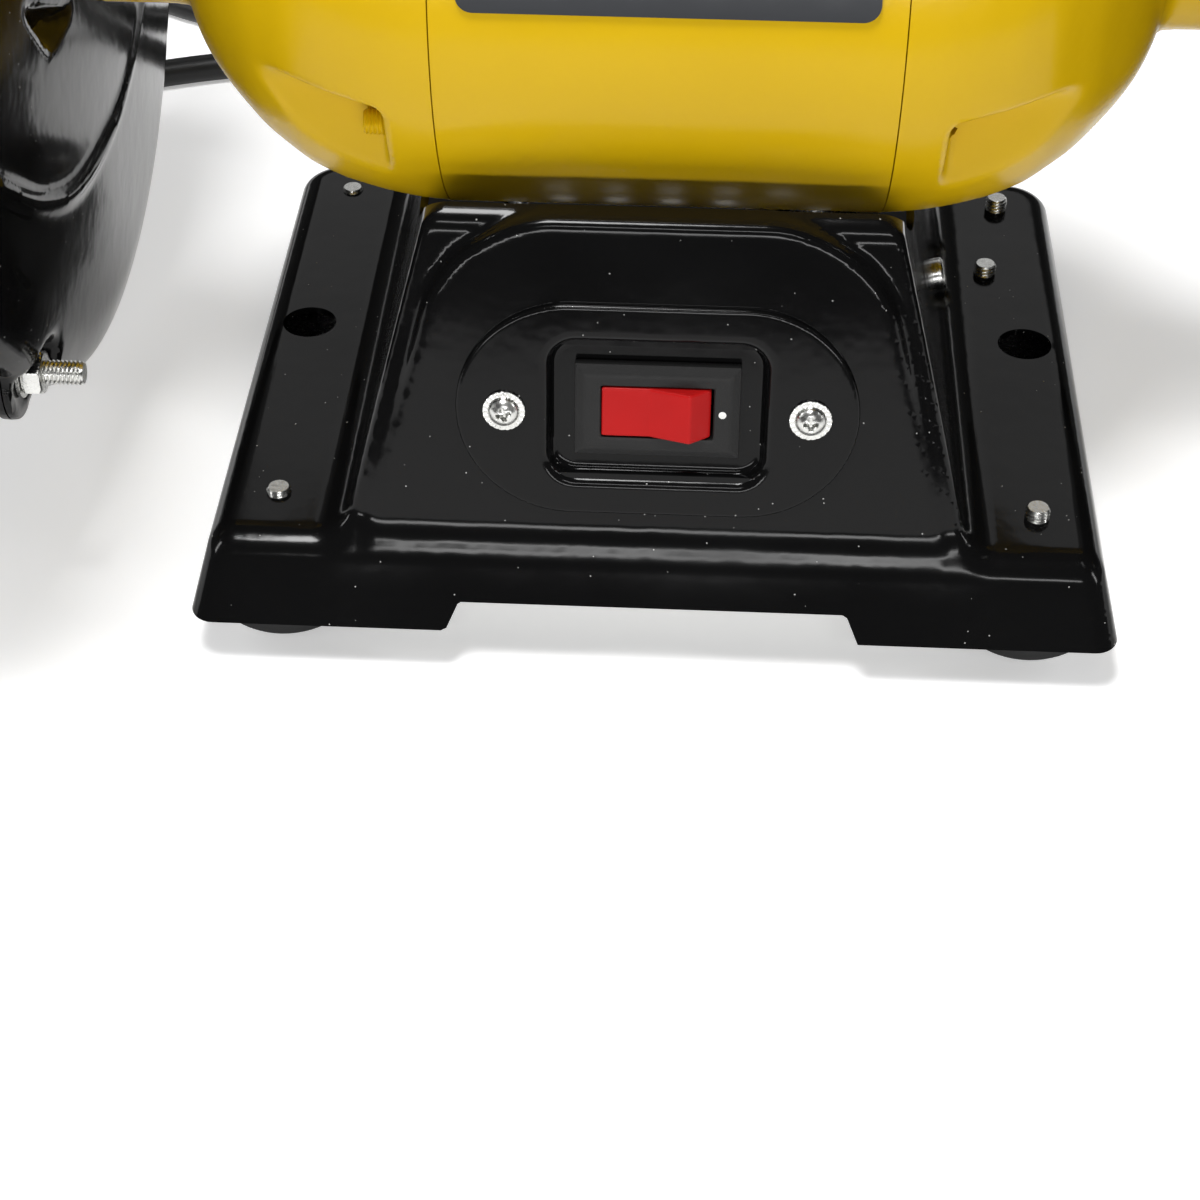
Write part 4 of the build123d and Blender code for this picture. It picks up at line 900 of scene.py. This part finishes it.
def make_bezel():
    """The switch's frame with a bevelled edge, its body behind the plate, and its white dot."""
    def field(u, v, n):
        off_u, off_v = np.abs(u), np.abs(v)
        off_flat = np.maximum(off_u - FLAT_HALF_U, off_v - FLAT_HALF_V)
        bevel = left_of(off_flat, n, (0.0, BEZEL_FACE), (1.7, BEZEL_FACE - 0.9))
        frame = np.maximum.reduce([off_u - BEZEL_HALF_U, off_v - BEZEL_HALF_V, bevel, PIT_FLOOR - n])
        frame = smooth_both(frame, n - BEZEL_FACE + 0.10 * ease(1 - np.hypot(u / 14, v / 9)), 0.25)
        body = np.maximum.reduce([off_u - BODY_HALF_U, off_v - BODY_HALF_V, n - BEZEL_FACE + 1,
                                  BODY_LOW - n])
        well = np.maximum.reduce([off_u - WELL_HALF_U, off_v - WELL_HALF_V, WELL_LOW - n])
        return smooth_both(np.minimum(frame, body), -well, 0.2)

    skin = isosurface(field, (-16.2, -10.2, -20.1), (16.2, 10.2, 1.8), 0.36, relax=1)
    add_piece("switch_bezel", on_panel(skin), "black_plastic", stands_for=["switch_body"])
    dot = lathe([(DOT_R, 0.0), (DOT_R, 0.06), (DOT_R - 0.12, 0.1)])
    add_piece("switch_dot", on_panel(dot, u=DOT_U, n=BEZEL_FACE - 0.04), "capacitor_case")


def make_rocker():
    """The red rocker with its right half raised, drawn up from the bezel's face."""
    flat, peak = (-1.5, 0.05), (6.1, 2.7)

    def field(u, v, n):
        height = n - BEZEL_FACE
        slope, drop = left_of(u, height, flat, peak), left_of(u, height, peak, (9.8, -0.5))
        top = smooth_both(np.minimum(height - flat[1], slope), drop, 0.35)
        taper = left_of(np.abs(u), height, (ROCKER_HALF_U, -1.5), (4.0, -10.0))
        profile = np.maximum.reduce([top, taper, u - ROCKER_HALF_U, -10.25 - u, -9.5 - height])
        return smooth_both(profile, np.abs(v) - ROCKER_HALF_V, 0.4)

    skin = isosurface(field, (-10.9, -5.7, BEZEL_FACE - 10.2), (10.9, 5.7, BEZEL_FACE + 3.6), 0.3, relax=2)
    add_piece("rocker_cap", on_panel(skin), "red_plastic", body="rocker", stands_for=["rocker"])


def pan_screw():
    """A cross-recessed pan head on a toothed washer, its washer's underside at height 0."""
    def head(u, v, n):
        dome = smooth_both(np.sqrt(u ** 2 + v ** 2 + (n + 0.9) ** 2) - 3.5, np.hypot(u, v) - 3.05, 0.5)
        depth = PAN_TOP - n
        along, across = np.maximum(np.abs(u), np.abs(v)), np.minimum(np.abs(u), np.abs(v))
        arm = np.maximum(along - 1.5 + 0.35 * depth, across - 0.42 + 0.10 * depth)
        cross = np.maximum(np.minimum(arm, np.hypot(u, v) - 0.85 + 0.3 * depth), 1.1 - n)
        return smooth_both(np.maximum(dome, 0.5 - n), -cross, 0.15)

    def washer(u, v, n):
        rho, turn = np.hypot(u, v), np.arctan2(v, u)
        teeth = 0.10 * np.maximum(np.sin(WASHER_TEETH * turn + 1.2 * rho), 0) * ease((rho - 2.9) / 0.4)
        return np.maximum(rho - 3.95 + 0.6 * teeth, np.abs(n - 0.32) - 0.32 + teeth)

    return joined([isosurface(head, (-3.6, -3.6, 0.2), (3.6, 3.6, 3.0), 0.16, relax=1),
                   isosurface(washer, (-4.3, -4.3, -0.3), (4.3, 4.3, 1.0), 0.16, relax=1),
                   lathe([(1.95, -6.0), (1.95, 0.3)])])


def make_plate_screws():
    screw = pan_screw()
    both = [on_panel(screw, u=x, n=PLATE_T, turn=turn) for x, turn in PLATE_SCREW_TURNS.items()]
    add_piece("switch_plate_fixings", joined(both), "zinc_steel",
              stands_for=["switch_plate_screws", "switch_plate_washers"])


make_switch_plate()
make_bezel()
make_rocker()
make_plate_screws()


# ---------------------------------------------------------------- screws and nuts
FOOT_X, FOOT_FRONT_Y, FOOT_REAR_Y = 73.6, -59.2, 54.8
EARTH_PLACE = (69.3, 27.6)
# how far the tip of each foot screw stands above the ledge
TIP_HEIGHT = {(-FOOT_X, FOOT_FRONT_Y): 1.3, (FOOT_X, FOOT_FRONT_Y): 2.4,
              (-FOOT_X, FOOT_REAR_Y): 0.8, (FOOT_X, FOOT_REAR_Y): 2.9}
EARTH_TIP_HEIGHT = 2.4
UNDER_LEDGE = LEDGE_Z - SKIN
M5_R, M5_HEX_HALF, BOLT_R = 2.45, 4.0, 2.42
BOLT_TIP_LENGTH = 9.0


def upright(surface, x, y):
    return placed(surface, (x, y, 0), (1, 0, 0), (0, 0, 1))


def make_foot_screws():
    screws = []
    for (x, y), height in TIP_HEIGHT.items():
        head = lathe([(4.0, 3.6), (4.6, 4.4), (4.6, 6.9)])
        screws += [upright(head, x, y), upright(threaded(M5_R, 6.0, LEDGE_Z + height), x, y),
                   upright(hex_block(3.9, UNDER_LEDGE - 3.2, UNDER_LEDGE - 0.1), x, y)]
    add_piece("foot_screws_threaded", joined(screws), "zinc_steel", stands_for=["foot_screws"])


def make_earth_screw():
    nut = hex_block(3.8, UNDER_LEDGE - 3.0, UNDER_LEDGE)
    screw = joined([nut, threaded(M5_R, UNDER_LEDGE - 1, LEDGE_Z + EARTH_TIP_HEIGHT)])
    add_piece("earth_screw_threaded", upright(screw, *EARTH_PLACE), "zinc_steel", stands_for=["earth_screw"])


def at_ear(surface, side, angle):
    """A surface drawn outward from a guard's inner face, moved to one of the guard's ears."""
    y, z = around(EAR_CIRCLE_R, angle)
    return placed(surface, (side * GUARD_X[side], y, z), (0, side, 0), (side, 0, 0))


def make_guard_fixings():
    points, faces = threaded(BOLT_R, 0.0, BOLT_TIP_LENGTH)
    tip = np.array(points) * (1, 1, -1) + (0, 0, BOLT_TIP_LENGTH), [face[::-1] for face in faces]
    shank = lathe([(BOLT_R, BOLT_TIP_LENGTH - 0.1), (BOLT_R, 15.2)])
    bolt = joined([tip, shank, hex_block(M5_HEX_HALF, 15.0, 18.5, both_ends=False)])
    washer = lathe([(5.0, 11.45), (5.0, 12.0)])
    nut = joined([hex_block(M5_HEX_HALF, 7.5, 11.4), washer])
    for name, side in SIDES.items():
        for kind, shape in (("bolts", bolt), ("nuts", nut)):
            add_piece(f"{name}_guard_{kind}", joined([at_ear(shape, side, angle) for angle in EAR_ANGLES]),
                      "zinc_steel", stands_for=[f"guard_cover_{kind}"])


def make_tie_bolts():
    tip, shank = threaded(M5_R, -12.0, 54.2), lathe([(M5_R, -47.3), (M5_R, -11.9)])
    head = lathe([(3.5, -50.0), (3.5, -47.2), (2.5, -47.3)])
    bolt = joined([tip, head, shank])
    bolts = [placed(bolt, (0, y, z), (0, -1, 0), (-1, 0, 0))
             for y in (-TIE_Y, TIE_Y) for z in (SPINDLE_Z - TIE_RISE, SPINDLE_Z + TIE_RISE)]
    add_piece("tie_bolts_threaded", joined(bolts), "yellow_enamel", stands_for=["tie_bolts"])


make_foot_screws()
make_earth_screw()
make_guard_fixings()
make_tie_bolts()


# ---------------------------------------------------------------- floor and light
AIM = (0, 0, 0.08)


def area_light(name, place, size, power, aim=AIM):
    """A rectangular lamp of that size in metres and power in watts."""
    data = bpy.data.lights.new(name, "AREA")
    data.shape, data.size, data.size_y = "RECTANGLE", *size
    data.energy = power
    light = bpy.data.objects.new(name, data)
    light.location = place
    light.rotation_euler = (Vector(aim) - Vector(place)).to_track_quat("-Z", "Y").to_euler()
    bpy.context.scene.collection.objects.link(light)


def make_floor():
    mesh = bpy.data.meshes.new("floor")
    half, front, back = 3.0, 0.29, 3.0
    corners = [(-half, -front, 0), (half, -front, 0), (half, back, 0), (-half, back, 0)]
    mesh.from_pydata(corners, [], [(0, 1, 2, 3)])
    floor = bpy.data.objects.new("floor", mesh)
    bpy.context.scene.collection.objects.link(floor)
    material, tree, shader = new_material("pale_floor")
    shader.inputs["Base Color"].default_value = (0.93, 0.93, 0.93, 1)
    shader.inputs["Roughness"].default_value = 0.7
    shader.inputs["Emission Color"].default_value = (1, 1, 1, 1)
    shader.inputs["Emission Strength"].default_value = 0.36
    mesh.materials.append(material)


def make_world(strength):
    world = bpy.data.worlds.new("studio")
    world.use_nodes = True
    background = world.node_tree.nodes["Background"]
    background.inputs["Color"].default_value = (1, 1, 1, 1)
    background.inputs["Strength"].default_value = strength
    bpy.context.scene.world = world


make_floor()
area_light("overhead", (-0.15, -0.3, 1.15), (0.30, 0.30), 12.0, aim=(0, 0, 0.05))
area_light("rear_softbox", (0.1, 1.2, 0.95), (1.3, 0.6), 1.8)
area_light("left_window", (-1.1, -0.3, 0.7), (0.12, 0.8), 4.5)
area_light("right_window", (1.1, -0.3, 0.7), (0.12, 0.8), 4.5)
area_light("front_strip", (0.1, -1.2, 0.85), (0.7, 0.08), 3.4)
area_light("front_low", (0, -1.3, 0.07), (1.4, 0.12), 8.0)
make_world(0.07)
bpy.context.scene.view_settings.view_transform = "Standard"
